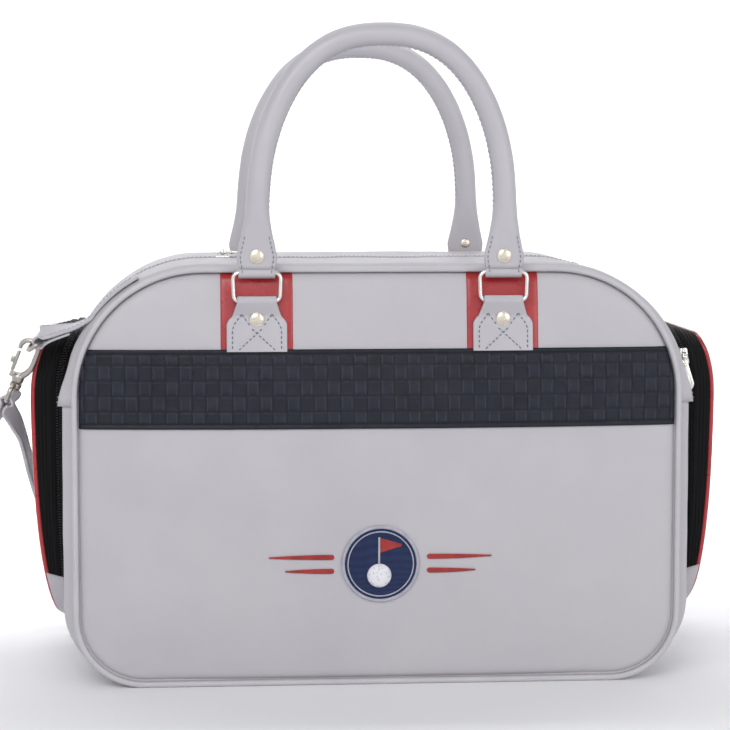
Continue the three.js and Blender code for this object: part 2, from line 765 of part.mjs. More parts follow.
// A D ring on its bar: the bow reaches along "ringDown".
function makeDRing({ bar, barAxis, ringDown }) {
  const straight = [-1, -0.7, 0.7, 1].map((k) => bar.clone().addScaledVector(barAxis, k * D_REACH));
  const bow = [];
  for (let i = 1; i < 10; i++) {
    const t = (i / 10) * Math.PI;
    const p = bar.clone().addScaledVector(barAxis, D_REACH * Math.cos(t));
    bow.push(p.addScaledVector(ringDown, D_BOW * Math.sin(t)));
  }
  return loopTube([...straight, ...bow], barAxis.clone().cross(ringDown), D_WIRE_R, 6);
}

// Snap hook, drawn hanging along -Z with the ring's wire at the origin and its gate on the +X side.
const HOOK_R = 6.8;
const HOOK_WIRE = 2;
const HOOK_TOP = -2.3; // centre of the hook's arc
const EYE_TOP = -31.5;
const EYE_DROP = EYE_LENGTH + EYE_TOP;
const EYE_WIRE_R = 1.6;

function makeHook() {
  const rings = [];
  const steps = 10;
  const push = (p, tangent, r) => {
    rings.push(oval(p, V(0, 1, 0), V(tangent.z, 0, -tangent.x), r * 1.4, r, 8));
  };
  for (let i = 0; i <= steps; i++) {
    const t = THREE.MathUtils.degToRad(-15 + (i / steps) * 195);
    const p = V(HOOK_R * Math.cos(t), 0, HOOK_TOP + HOOK_R * Math.sin(t));
    push(p, V(-Math.sin(t), 0, Math.cos(t)), HOOK_WIRE * (i ? 1 : 0.75));
  }
  push(V(-HOOK_R, 0, -15), V(0, 0, -1), HOOK_WIRE);
  push(V(-HOOK_R + 2.6, 0, -20), V(0.5, 0, -0.85), HOOK_WIRE);
  push(V(-1.5, 0, -24), V(0.5, 0, -0.85), HOOK_WIRE + 0.2);
  const shank = rod("z", 4.4, 6.5, V(0, 0, -25.5), 10);
  const post = rod("z", 1.8, 8, V(0, 0, -31), 8);
  const flange = rod("z", 3.2, 1.4, V(0, 0, -34.6), 8);
  const gateSeat = block(6, 4.4, 4, V(4, 0, -24.5));
  return join(loft(rings), shank, post, flange, gateSeat);
}

function makeGate() {
  const blade = block(2.2, 4.2, 15.8, V(HOOK_R - 0.4, 0, -14.2));
  return join(blade, block(3, 5.4, 4, V(HOOK_R + 1.8, 0, -14)));
}

// The swivel eye: a rectangular loop that carries the strap and turns on the hook's post.
function makeEye() {
  const wide = STRAP_WIDTH / 2 + 3;
  const low = EYE_TOP - EYE_DROP;
  const corners = [V(0, -wide, EYE_TOP), V(0, wide, EYE_TOP), V(0, wide, low), V(0, -wide, low)];
  const points = [];
  corners.forEach((p, i) => {
    const after = corners[(i + 1) % 4];
    const side = after.clone().sub(p).normalize().multiplyScalar(2.4);
    points.push(p.clone().add(side), after.clone().sub(side));
  });
  const frame = loopTube(points, V(1, 0, 0), EYE_WIRE_R, 6);
  const collar = rod("z", 4.4, 3.4, V(0, 0, EYE_TOP), 10);
  return cut(join(frame, collar), rod("z", 2.2, 12, V(0, 0, EYE_TOP), 8));
}

// The strap's way from the left eye, past the left pocket, along the floor behind and up to the right eye.
const FLOOR_Y = 148; // the strap lies on the floor this far behind the middle
const FLOOR_BOW = 20;
const FLOOR_END = 150;
const FLOOR_LIFT = 1.4;
const floorBow = (x) => FLOOR_Y + FLOOR_BOW * Math.cos((x / FLOOR_END) * (Math.PI / 2));

function strapRoute() {
  const thin = STRAP_SKIN / 2;
  const leftDrop = [
    [V(-270.5, -56, 196), V(0.05, 0.6, 0.8)],
    [V(-267.5, -28, 184), V(0, 0.5, 0.87)],
    [V(-266, 6, 168), V(0, 0.5, 0.87)],
    [V(-264.5, 44, 148), V(0.05, 0.6, 0.8)],
    [V(-260, 84, 122), V(0.15, 0.75, 0.65)],
    [V(-251, 112, 92), V(0.25, 0.85, 0.5)],
    [V(-236, 130, 60), V(0.3, 0.9, 0.3)],
    [V(-214, 142, 28), V(0.1, 1, 0.1)],
    [V(-184, 147, 9), Y_AXIS],
  ];
  const floor = [];
  for (let i = 0; i <= 8; i++) {
    const x = FLOOR_END * (i / 4 - 1);
    floor.push([V(x, floorBow(x), thin + FLOOR_LIFT), Y_AXIS]);
  }
  const rightDrop = [
    [V(184, 146, 8), Y_AXIS],
    [V(212, 142, 26), Y_AXIS],
    [V(234, 133, 52), V(0.3, 0.95, 0)],
    [V(247, 120, 84), V(0.6, 0.75, 0)],
    [V(253, 106, 116), V(0.9, 0.4, 0)],
    [V(253, 96, 146), V(1, 0.1, 0)],
  ];
  return [...leftDrop, ...floor, ...rightDrop].map(([p, w]) => ({ p, w, b: thin }));
}

// The looped end of the strap round an eye's bar, from the loop's tip to where the strap thins.
function strapLoop(bar, along, w) {
  return [
    [-LOOP_R, 0.8],
    [-2.5, LOOP_R - 1],
    [0, LOOP_R],
    [2.5, LOOP_R - 0.7],
    [7, 2.2],
  ].map(([d, b]) => ({ p: bar.clone().addScaledVector(along, d), w, b }));
}

function makeStrap(left, right) {
  const leftLoop = strapLoop(left.bar, V(-0.3, 0.6, -0.75).normalize(), left.axis);
  const rightLoop = strapLoop(right.bar, V(0.03, 0.05, -1).normalize(), right.axis).reverse();
  const strap = sweptStrap([...leftLoop, ...strapRoute(), ...rightLoop]);
  const holes = [left, right].map((eye) => rodAlong(eye.axis, EYE_WIRE_R + 0.6, 60, eye.bar));
  return cut(strap, ...holes);
}

// A slide buckle round the strap where it lies on the floor.
function makeAdjuster(x, y, z) {
  const frame = block(16, STRAP_WIDTH + 8, STRAP_SKIN + 3, V(x, y, z + 0.2));
  return cut(frame, block(30, STRAP_WIDTH + 1.2, STRAP_SKIN + 1, V(x, y, z)));
}

// A frame with Z away from "down" and Y along the wire the hook holds, its X on the gate's side.
function hangingFrame(origin, down, wire, gateSide) {
  const up = down.clone().negate();
  const along = wire.clone().addScaledVector(up, -wire.dot(up)).normalize();
  const out = along.clone().cross(up);
  if (out.dot(gateSide) < 0) {
    along.negate();
    out.negate();
  }
  return new THREE.Matrix4().makeBasis(out, along, up).setPosition(origin);
}

function addStrap() {
  const eyes = [];
  const ends = [
    ["left", LEFT_END, false],
    ["right", RIGHT_END, true],
  ];
  for (const [word, end, turned] of ends) {
    add(`${word}_strap_tab`, makeStrapTab(end), MATERIALS.whiteLeather);
    add(`${word}_strap_ring`, makeDRing(end), MATERIALS.nickel);
    const hook = hangingFrame(ringTip(end), end.hookDown, end.barAxis, end.gateSide);
    const eye = turned ? hook.clone().multiply(new THREE.Matrix4().makeRotationZ(Math.PI / 2)) : hook;
    add(`${word}_strap_hook`, placed(makeHook(), hook), MATERIALS.nickel);
    add(`${word}_hook_gate`, placed(makeGate(), hook), MATERIALS.nickel);
    add(`${word}_hook_eye`, placed(makeEye(), eye), MATERIALS.nickel);
    eyes.push({
      bar: V(0, 0, -EYE_LENGTH).applyMatrix4(eye),
      axis: Y_AXIS.clone().transformDirection(eye),
    });
  }
  add("shoulder_strap", makeStrap(...eyes), MATERIALS.whiteLeather);
  const adjusterX = 0;
  const adjuster = makeAdjuster(adjusterX, floorBow(adjusterX), STRAP_SKIN / 2 + FLOOR_LIFT);
  add("strap_adjuster", adjuster, MATERIALS.nickel);
}

// ---- Inside: lining and base board ----
function prism(inset, y) {
  const ring = (depth) => outline(inset).map(([x, z]) => V(x, depth, z));
  return loft([ring(-y), ring(y)]);
}

function addInside() {
  const wall = 1.2;
  const inset = SKIN + 2;
  const reach = seamY - SKIN - 4;
  const mouth = block(2 * (half - TOP_CORNER), 40, 60, V(0, 0, HEIGHT));
  const lining = cut(prism(inset, reach), prism(inset + wall, reach - wall), mouth);
  add("lining", lining, MATERIALS.lining);
  const floor = inset + wall + GAP;
  add("base_board", block(346, 190, 3, V(0, 0, floor + 1.5)), MATERIALS.board);
}

addShell();
addFrontLayers();
addHandles();
addMainZip();
addPockets();
addStrap();
addInside();

export default bag;
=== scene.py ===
"""Looks of a golf shoe bag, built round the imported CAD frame.

Shapes are worked out in millimetres in the frame's axes (+X right, +Y back, +Z up, origin in the middle
of the underside) and stored in metres. The front faces -Y, and the back is its mirror image.
"""

import math

import bmesh
import bpy
import numpy as np
from mathutils import Euler, Matrix, Vector, noise
from mathutils.bvhtree import BVHTree


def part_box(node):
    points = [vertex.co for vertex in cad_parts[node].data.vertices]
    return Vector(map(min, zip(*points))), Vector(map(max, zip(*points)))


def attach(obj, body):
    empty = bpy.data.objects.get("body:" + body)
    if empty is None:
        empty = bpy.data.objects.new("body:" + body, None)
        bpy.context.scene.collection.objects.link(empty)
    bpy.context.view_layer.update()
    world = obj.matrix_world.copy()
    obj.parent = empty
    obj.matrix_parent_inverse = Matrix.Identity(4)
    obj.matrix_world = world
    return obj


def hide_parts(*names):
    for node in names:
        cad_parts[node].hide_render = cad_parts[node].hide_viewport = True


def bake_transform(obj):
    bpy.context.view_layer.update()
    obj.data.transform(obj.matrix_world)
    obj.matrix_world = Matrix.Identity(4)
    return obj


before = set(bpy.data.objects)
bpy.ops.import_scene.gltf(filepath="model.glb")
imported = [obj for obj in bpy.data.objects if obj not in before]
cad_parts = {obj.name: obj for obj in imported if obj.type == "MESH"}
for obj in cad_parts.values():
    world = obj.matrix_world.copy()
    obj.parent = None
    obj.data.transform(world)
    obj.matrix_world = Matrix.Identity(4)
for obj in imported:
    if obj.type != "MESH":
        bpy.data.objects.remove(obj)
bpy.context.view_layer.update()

MM = 0.001

# ---- Sizes shared with the CAD frame, in mm ----
HALF_WIDTH = 225.0
HEIGHT = 310.0
MIDDLE_Z = HEIGHT / 2
SEAM_Y = 110.0
TOP_CORNER = 95.0
BASE_CORNER = 52.0
CROWN = 12.0
PIPING_R = 2.2
HANDLE_X = 90.0
BAND_TOP = 250.0
BAND_BASE = 192.0
LOWER_BAR_Z = 285.0
UPPER_BAR_Z = 306.0
TAB_RIVET_Z = 272.0
HANDLE_RIVET_Z = 318.0


def node_box(name):
    """Lowest and highest corner of a CAD node, in mm."""
    low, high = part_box(name)
    return np.array(low) / MM, np.array(high) / MM


ring_low, ring_high = node_box("front_left_ring")
BAR_Y = (ring_low[1] + ring_high[1]) / 2  # y of the front handle's ring bars


# ---- Vector helpers ----
def vec(*xyz):
    return np.array(xyz, float)


def unit(v):
    return v / np.linalg.norm(v)


def smooth(low, high, value):
    """0 below low, 1 above high, and an S curve between."""
    t = np.clip((np.asarray(value, float) - low) / (high - low), 0, 1)
    return t * t * (3 - 2 * t)


def mix(a, b, t):
    return a * (1 - t) + b * t


def spline(points, steps):
    """A Catmull-Rom curve through the points, with `steps` pieces per span."""
    p = np.asarray(points, float)
    p = np.vstack([2 * p[0] - p[1], p, 2 * p[-1] - p[-2]])
    out = []
    for i in range(1, len(p) - 2):
        a, b, c, d = p[i - 1], p[i], p[i + 1], p[i + 2]
        for k in range(steps):
            t = k / steps
            out.append(0.5 * (2 * b + (c - a) * t + (2 * a - 5 * b + 4 * c - d) * t * t
                              + (3 * b - a - 3 * c + d) * t ** 3))
    out.append(p[-2])
    return np.array(out)


def resample(points, gap, closed=False):
    """The same line with its points an even distance apart, close to gap."""
    p = np.asarray(points, float)
    if closed:
        p = np.vstack([p, p[:1]])
    run = np.concatenate([[0], np.cumsum(np.linalg.norm(np.diff(p, axis=0), axis=1))])
    count = max(2, int(round(run[-1] / gap)))
    at = np.linspace(0, run[-1], count + 1)
    out = np.stack([np.interp(at, run, p[:, k]) for k in range(p.shape[1])], axis=1)
    return out[:-1] if closed else out


def wobble(p, scale, size):
    """A smooth noise in mm at a point given in mm; scale is the size of its waves."""
    return size * noise.noise(Vector(p) / scale)


# ---- Mesh building ----
def shade(obj, material, flat=False):
    obj.data.materials.append(material)
    obj.data.polygons.foreach_set("use_smooth", [not flat] * len(obj.data.polygons))
    return obj


def mesh_object(name, points, faces, material, flat=False):
    """An object from points in mm; its faces are turned to point outwards."""
    mesh = bpy.data.meshes.new(name)
    mesh.from_pydata([tuple(p) for p in np.asarray(points) * MM], [], [tuple(f) for f in faces])
    mesh.validate()
    obj = bpy.data.objects.new(name, mesh)
    bpy.context.scene.collection.objects.link(obj)
    edit = bmesh.new()
    edit.from_mesh(mesh)
    bmesh.ops.recalc_face_normals(edit, faces=edit.faces)
    edit.to_mesh(mesh)
    edit.free()
    return shade(obj, material, flat)


def grid_faces(rows, columns, close_rows=False, close_columns=False, start=0):
    faces = []
    for i in range(rows if close_rows else rows - 1):
        for j in range(columns if close_columns else columns - 1):
            a = start + i * columns
            b = start + ((i + 1) % rows) * columns
            k = (j + 1) % columns
            faces.append((a + j, b + j, b + k, a + k))
    return faces


def skin(name, points, material, close_rows=False, close_columns=False, caps=False):
    """A surface through a grid of points, rows x columns x 3, in mm."""
    p = np.asarray(points, float)
    rows, columns = p.shape[:2]
    faces = grid_faces(rows, columns, close_rows, close_columns)
    if caps:
        faces.append(tuple(range(columns)))
        faces.append(tuple(range((rows - 1) * columns, rows * columns)))
    return mesh_object(name, p.reshape(-1, 3), faces, material)


def slab(name, outer, inner, material):
    """A closed sheet between two grids of points of the same size."""
    outer, inner = np.asarray(outer, float), np.asarray(inner, float)
    rows, columns = outer.shape[:2]
    count = rows * columns
    faces = grid_faces(rows, columns)
    faces += [tuple(reversed(f)) for f in grid_faces(rows, columns, start=count)]
    rim = list(range(columns))
    rim += [i * columns + columns - 1 for i in range(1, rows)]
    rim += [(rows - 1) * columns + j for j in range(columns - 2, -1, -1)]
    rim += [i * columns for i in range(rows - 2, 0, -1)]
    for a, b in zip(rim, rim[1:] + rim[:1]):
        faces.append((a, b, b + count, a + count))
    points = np.vstack([outer.reshape(-1, 3), inner.reshape(-1, 3)])
    return mesh_object(name, points, faces, material)


def circle_section(radius, sides=16):
    t = np.arange(sides) / sides * 2 * math.pi
    return np.stack([radius * np.cos(t), radius * np.sin(t)], axis=1)


def strap_section(wide, thick, edge, steps=4, across=10):
    """A flat strap's section: half width, half thickness and the radius of its rounded edges."""
    edge = min(edge, thick, wide)
    points = []
    for cx, cz, start in ((1, 1, 0), (-1, 1, 1), (-1, -1, 2), (1, -1, 3)):
        for k in range(steps + 1):
            t = (start + k / steps) * math.pi / 2
            points.append((cx * (wide - edge) + edge * math.cos(t), cz * (thick - edge) + edge * math.sin(t)))
        if start in (0, 2):
            side = 1 if start == 0 else -1
            for k in range(1, across):
                points.append((side * (wide - edge) * (1 - 2 * k / across), side * thick))
    return np.array(points)


def frames_along(path, wide_hints, closed=False):
    """At each point: the tangent, the direction of the section's width and the third direction."""
    p = np.asarray(path, float)
    if closed:
        ahead, behind = np.roll(p, -1, 0), np.roll(p, 1, 0)
    else:
        ahead, behind = np.vstack([p[1:], p[-1:]]), np.vstack([p[:1], p[:-1]])
    tangent = ahead - behind
    tangent /= np.linalg.norm(tangent, axis=1)[:, None]
    hints = np.broadcast_to(np.asarray(wide_hints, float), p.shape)
    u = hints - tangent * np.sum(hints * tangent, axis=1)[:, None]
    u /= np.linalg.norm(u, axis=1)[:, None]
    for i in range(1, len(u)):
        if np.dot(u[i], u[i - 1]) < 0:
            u[i] = -u[i]
    return tangent, u, np.cross(tangent, u)


def sweep_points(path, wide_hints, sections, closed=False):
    """Rings of points: a section (or one for each point) carried along the path."""
    p = np.asarray(path, float)
    _, u, v = frames_along(p, wide_hints, closed)
    s = np.asarray(sections, float)
    if s.ndim == 2:
        s = np.broadcast_to(s, (len(p),) + s.shape)
    return p[:, None, :] + s[:, :, :1] * u[:, None, :] + s[:, :, 1:] * v[:, None, :]


def sweep(name, path, wide_hints, sections, material, closed=False):
    rings = sweep_points(path, wide_hints, sections, closed)
    return skin(name, rings, material, close_rows=closed, close_columns=True, caps=not closed)


def lathe(name, profile, centre, axis, material, sides=28):
    """Turns a profile of (radius, distance along the axis) round an axis through the centre."""
    axis = unit(vec(*axis))
    u = unit(np.cross(axis, vec(0.31, 0.42, 0.85)))
    v = np.cross(axis, u)
    t = np.arange(sides) / sides * 2 * math.pi
    ring = np.cos(t)[:, None] * u + np.sin(t)[:, None] * v
    rows = [vec(*centre) + max(r, 0.01) * ring + d * axis for r, d in profile]
    return skin(name, rows, material, close_columns=True, caps=True)


def join(name, objects):
    """Joins objects into the first one, keeping each one's material."""
    with bpy.context.temp_override(active_object=objects[0], selected_editable_objects=objects):
        bpy.ops.object.join()
    objects[0].name = name
    return objects[0]


def mirrored(obj, name, axis):
    """A copy turned over through the plane x = 0 (axis 0) or y = 0 (axis 1)."""
    copy = obj.copy()
    copy.data = obj.data.copy()
    copy.name = name
    scale = [1, 1, 1]
    scale[axis] = -1
    copy.data.transform(Matrix.Diagonal((*scale, 1)))
    copy.data.flip_normals()
    bpy.context.scene.collection.objects.link(copy)
    return copy


def bend_edges(obj, width, segments=2, angle=35):
    """Rounds the sharp edges of a hard part."""
    bevel = obj.modifiers.new("soft_edges", "BEVEL")
    bevel.width = width * MM
    bevel.segments = segments
    bevel.limit_method = "ANGLE"
    bevel.angle_limit = math.radians(angle)
    bevel.harden_normals = False
    return obj


def colour_points(obj, name, values):
    """Stores one number for each point of a mesh, for its material to read."""
    layer = obj.data.attributes.new(name, "FLOAT", "POINT")
    layer.data.foreach_set("value", np.asarray(values, np.float32).ravel())


# ---- Materials ----
class Nodes:
    """A short way to build a material's node tree."""

    def __init__(self, name):
        self.material = bpy.data.materials.new(name)
        self.material.use_nodes = True
        self.tree = self.material.node_tree
        self.bsdf = self.tree.nodes["Principled BSDF"]
        self.position = self.add("ShaderNodeTexCoord").outputs["Object"]

    def add(self, kind, inputs=(), **settings):
        node = self.tree.nodes.new(kind)
        for key, value in settings.items():
            setattr(node, key, value)
        for key, value in dict(inputs).items():
            self.put(node.inputs[key], value)
        return node

    def put(self, socket, value):
        if isinstance(value, bpy.types.NodeSocket):
            self.tree.links.new(value, socket)
        elif hasattr(socket.default_value, "__len__") and len(socket.default_value) == 4 and len(value) == 3:
            socket.default_value = (*value, 1)
        else:
            socket.default_value = value

    def surface(self, **values):
        for key, value in values.items():
            self.put(self.bsdf.inputs[key.replace("_", " ")], value)

    def noise(self, size_mm, detail=4.0, roughness=0.5, vector=None, distortion=0.0):
        inputs = {"Vector": vector or self.position, "Scale": 1 / (size_mm * MM), "Detail": detail,
                  "Roughness": roughness, "Distortion": distortion}
        return self.add("ShaderNodeTexNoise", inputs).outputs["Fac"]

    def cells(self, size_mm, feature="F1"):
        inputs = {"Vector": self.position, "Scale": 1 / (size_mm * MM)}
        return self.add("ShaderNodeTexVoronoi", inputs, feature=feature).outputs["Distance"]

    def wave(self, period_mm, axis, vector=None, profile="SIN"):
        scale = 2 * math.pi / (period_mm * MM) / 20  # the texture repeats every pi / (10 x scale)
        inputs = {"Vector": vector or self.position, "Scale": scale}
        return self.add("ShaderNodeTexWave", inputs, bands_direction=axis,
                        wave_profile=profile).outputs["Fac"]

    def ramp(self, value, low, high, low_to=0.0, high_to=1.0):
        inputs = {"Value": value, "From Min": low, "From Max": high, "To Min": low_to, "To Max": high_to}
        return self.add("ShaderNodeMapRange", inputs).outputs["Result"]

    def math(self, kind, a, b=0.0):
        return self.add("ShaderNodeMath", {0: a, 1: b}, operation=kind).outputs[0]

    def blend(self, share, a, b):
        node = self.tree.nodes.new("ShaderNodeMix")
        node.data_type = "RGBA"
        self.put(node.inputs[0], share)
        self.put(node.inputs[6], a)
        self.put(node.inputs[7], b)
        return node.outputs[2]

    def bump(self, height, depth_mm, strength=1.0, normal=None):
        inputs = {"Height": height, "Distance": depth_mm * MM, "Strength": strength}
        if normal:
            inputs["Normal"] = normal
        return self.add("ShaderNodeBump", inputs).outputs["Normal"]

    def attribute(self, name):
        return self.add("ShaderNodeAttribute", attribute_name=name).outputs["Fac"]


def leather(name, light, dark, roughness, grain_mm=0.9, grain_depth=0.05, coat=0.0, crease=0.25, warmth=None):
    """Coated leather: pebbled grain, faint creases, and a colour that drifts slowly."""
    n = Nodes(name)
    drift = n.noise(55, detail=3)
    tone = n.ramp(drift, 0.32, 0.68)
    colour = n.blend(tone, dark, light)
    if warmth:
        colour = n.blend(n.ramp(n.noise(140, detail=2), 0.45, 0.7, 0, 0.6), colour, warmth)
    pebble = n.cells(grain_mm, "SMOOTH_F1")
    fine = n.noise(grain_mm * 0.45, detail=3)
    folds = n.noise(17, detail=5, roughness=0.62, distortion=0.8)
    bump = n.bump(n.math("ADD", pebble, n.math("MULTIPLY", fine, 0.5)), grain_depth)
    bump = n.bump(folds, crease, normal=bump)
    sheen_map = n.ramp(n.noise(9, detail=5), 0.3, 0.7, roughness - 0.06, roughness + 0.07)
    n.surface(Base_Color=colour, Roughness=sheen_map, Normal=bump, Coat_Weight=coat, Coat_Roughness=0.25)
    n.surface(Specular_IOR_Level=0.45)
    return n.material


def woven_leather():
    """Navy strips: painted shade in the grooves and a painted highlight on the raised edges."""
    n = Nodes("woven_navy_leather")
    height = n.attribute("height")
    lit = n.ramp(n.noise(14, detail=4), 0.3, 0.7, 0.0, 1.0)
    base = n.blend(lit, (0.0052, 0.0072, 0.0135), (0.0085, 0.0115, 0.0205))
    # Painted highlight: the highest parts of the relief, the pillows' tops and the lips, are painted lighter.
    painted_highlight_colour = n.blend(n.ramp(height, 0.7, 0.98, 0, 0.85), base, (0.026, 0.033, 0.052))
    # Painted shade: the low parts of the relief, the grooves between strips and beside the turned edges, are
    # painted nearly black.
    colour = n.blend(n.ramp(height, 0.0, 0.5, 0.95, 0.0), painted_highlight_colour, (0.0008, 0.001, 0.002))
    grain = n.math("ADD", n.cells(0.8, "SMOOTH_F1"), n.math("MULTIPLY", n.noise(0.4, detail=3), 0.5))
    bump = n.bump(grain, 0.05)
    rough = n.ramp(n.noise(5, detail=4), 0.3, 0.7, 0.42, 0.56)
    n.surface(Base_Color=colour, Roughness=rough, Normal=bump, Specular_IOR_Level=0.3)
    return n.material


def metal(name, tint, dark, roughness):
    """Plated metal with hairline scratches and a little tarnish."""
    n = Nodes(name)
    stretch = n.add("ShaderNodeMapping", {"Vector": n.position, "Scale": (1.0, 1.0, 9.0)}).outputs[0]
    hairline = n.noise(2.2, detail=6, roughness=0.7, vector=stretch)
    tarnish = n.ramp(n.noise(3.5, detail=5), 0.45, 0.8, 0, 0.25)
    n.surface(Base_Color=n.blend(tarnish, tint, dark), Metallic=1.0, Normal=n.bump(hairline, 0.02),
              Roughness=n.ramp(hairline, 0.3, 0.7, roughness - 0.06, roughness + 0.1))
    return n.material


def ribbed_fabric(name, light, dark, period_mm, axis):
    """Woven tape with ribs across it and a thread pattern on each rib."""
    n = Nodes(name)
    rib = n.wave(period_mm, axis)
    other = "X" if axis != "X" else "Y"
    thread = n.wave(period_mm * 0.45, other)
    fuzz = n.noise(0.8, detail=4)
    height = n.math("ADD", n.math("MULTIPLY", rib, 0.7), n.math("MULTIPLY", thread, 0.3))
    dusty = n.ramp(n.noise(12, detail=5), 0.35, 0.75, 0, 0.6)
    shaded = n.math("MULTIPLY", n.ramp(height, 0.1, 0.95), n.math("ADD", n.math("MULTIPLY", dusty, 0.5), 0.5))
    bump = n.bump(height, 0.3, normal=n.bump(fuzz, 0.08))
    n.surface(Base_Color=n.blend(shaded, dark, light), Roughness=0.85, Normal=bump)
    n.surface(Sheen_Weight=0.06, Sheen_Roughness=0.5, Specular_IOR_Level=0.25)
    return n.material


def thread(name, light, dark):
    n = Nodes(name)
    twist = n.add("ShaderNodeMapping", {"Vector": n.position, "Rotation": (0.6, 0.8, 0.6)}).outputs[0]
    ply = n.wave(0.7, "X", vector=twist)
    tone = n.ramp(n.noise(7), 0.3, 0.7)
    # Painted shade: the grooves between the plies are painted darker; the tone noise varies at random.
    n.surface(Base_Color=n.blend(n.math("MULTIPLY", ply, tone), dark, light), Roughness=0.7,
              Normal=n.bump(ply, 0.12), Sheen_Weight=0.3)
    return n.material


def board():
    """Stiff fibre board: speckled, with a rough face."""
    n = Nodes("fibre_board")
    speck = n.noise(0.7, detail=5, roughness=0.7)
    n.surface(Base_Color=n.blend(n.ramp(speck, 0.3, 0.7), (0.012, 0.012, 0.012), (0.03, 0.029, 0.027)),
              Roughness=0.8, Normal=n.bump(speck, 0.15))
    return n.material


def painted_floor():
    n = Nodes("studio_floor")
    tone = n.ramp(n.noise(420, detail=2), 0.3, 0.7)
    n.surface(Base_Color=n.blend(tone, (0.86, 0.86, 0.87), (0.9, 0.9, 0.905)), Roughness=0.75,
              Normal=n.bump(n.noise(4, detail=3), 0.05))
    return n.material


WHITE = leather("white_leather", (0.462, 0.448, 0.472), (0.438, 0.424, 0.45), 0.47, grain_mm=0.9,
                grain_depth=0.045, crease=0.16, warmth=(0.466, 0.455, 0.468))
WHITE_EDGE = leather("white_leather_piping", (0.5, 0.486, 0.51), (0.455, 0.442, 0.468), 0.42, grain_mm=0.7,
                     grain_depth=0.05, crease=0.1)
WHITE_GLOSS = leather("white_leather_smooth", (0.458, 0.445, 0.468), (0.425, 0.412, 0.437), 0.4, grain_mm=0.8,
                      grain_depth=0.03, coat=0.12, crease=0.12)
RED = leather("red_patent_leather", (0.4, 0.022, 0.026), (0.31, 0.013, 0.017), 0.3, grain_mm=0.6,
              grain_depth=0.03, coat=0.35, crease=0.12)
NAVY = woven_leather()
TAPE = ribbed_fabric("black_zip_tape", (0.0055, 0.0058, 0.007), (0.0008, 0.0009, 0.0012), 1.9, "Y")
LINING = ribbed_fabric("grey_lining", (0.05, 0.052, 0.06), (0.02, 0.021, 0.025), 0.9, "Z")
NICKEL = metal("nickel", (0.78, 0.76, 0.72), (0.5, 0.47, 0.42), 0.2)
CHAMPAGNE = metal("champagne_nickel", (0.72, 0.66, 0.55), (0.5, 0.44, 0.34), 0.26)
GUNMETAL = metal("worn_nickel", (0.5, 0.47, 0.43), (0.28, 0.25, 0.22), 0.3)
COIL = leather("nylon_coil", (0.007, 0.007, 0.008), (0.003, 0.003, 0.0035), 0.42, grain_mm=0.5,
               grain_depth=0.02)
STITCH_WHITE = thread("white_thread", (0.56, 0.55, 0.59), (0.34, 0.34, 0.41))
STITCH_BLUE = thread("blue_grey_thread", (0.22, 0.24, 0.36), (0.1, 0.11, 0.19))
STITCH_RED = thread("red_thread", (0.5, 0.035, 0.03), (0.25, 0.012, 0.012))
BADGE_NAVY = ribbed_fabric("navy_embroidery", (0.035, 0.055, 0.15), (0.012, 0.02, 0.06), 0.8, "X")


# ---- The body's outline ----
def half_width(z, inset=0.0):
    """Half the body's width at a height, moved inwards by inset."""
    z = np.asarray(z, float)
    low = np.maximum(0, BASE_CORNER - z)
    high = np.maximum(0, z - (HEIGHT - TOP_CORNER))
    radius = np.where(low > 0, BASE_CORNER, TOP_CORNER) - inset
    drop = np.maximum(low, high)
    return HALF_WIDTH - inset - radius + np.sqrt(np.maximum(0, radius ** 2 - drop ** 2))


def crown(x, z):
    reach = (np.abs(x) / HALF_WIDTH) ** 4.5 + (np.abs(z - MIDDLE_Z) / MIDDLE_Z) ** 4.5
    return CROWN * np.maximum(0, 1 - reach ** (2.2 / 4.5))


def outline(inset, corner_steps=24, gap=6.0):
    """Closed loop of (x, z, out x, out z), anticlockwise from the left end of the base."""
    corners = [
        (-(HALF_WIDTH - BASE_CORNER), BASE_CORNER, BASE_CORNER, math.pi),
        (HALF_WIDTH - BASE_CORNER, BASE_CORNER, BASE_CORNER, 1.5 * math.pi),
        (HALF_WIDTH - TOP_CORNER, HEIGHT - TOP_CORNER, TOP_CORNER, 0),
        (-(HALF_WIDTH - TOP_CORNER), HEIGHT - TOP_CORNER, TOP_CORNER, 0.5 * math.pi),
    ]
    arcs = []
    for cx, cz, radius, start in corners:
        t = start + np.linspace(0, math.pi / 2, corner_steps + 1)
        c, s = np.cos(t), np.sin(t)
        arcs.append(np.stack([cx + (radius - inset) * c, cz + (radius - inset) * s, c, s], axis=1))
    loop = []
    for i, arc in enumerate(arcs):
        after = arcs[(i + 1) % 4][0]
        loop.append(arc)
        steps = int(np.linalg.norm(after[:2] - arc[-1][:2]) / gap)
        t = np.linspace(0, 1, steps + 1)[1:-1, None]
        loop.append(mix(arc[-1], after, t))
    return np.vstack(loop)


# ---- Padded panels ----
PANEL_INSET = 4.6
SEAM_DEPTH = 4.0  # the panel starts this far behind its face, in the groove beside the piping
PANEL_PRESSURE = 3.2
PANEL_FRAMES = 16
MOST_PUFF = 3.0


def panel_rows():
    """Heights of the panel's rows, close together round the corners and along the edges."""
    base = BASE_CORNER - (BASE_CORNER - PANEL_INSET) * np.sin(np.linspace(math.pi / 2, 0, 15))
    top = (HEIGHT - TOP_CORNER) + (TOP_CORNER - PANEL_INSET) * np.sin(np.linspace(0, math.pi / 2, 22))
    middle = np.linspace(base[-1], top[0], 30)
    return np.concatenate([base, middle[1:-1], top])


def panel_shares():
    edge = np.array([0, 0.003, 0.007, 0.012, 0.02, 0.03, 0.043, 0.06, 0.08])
    left = np.concatenate([edge, np.linspace(0.1, 1, 32)]) - 1
    return np.concatenate([left, -left[-2::-1]])


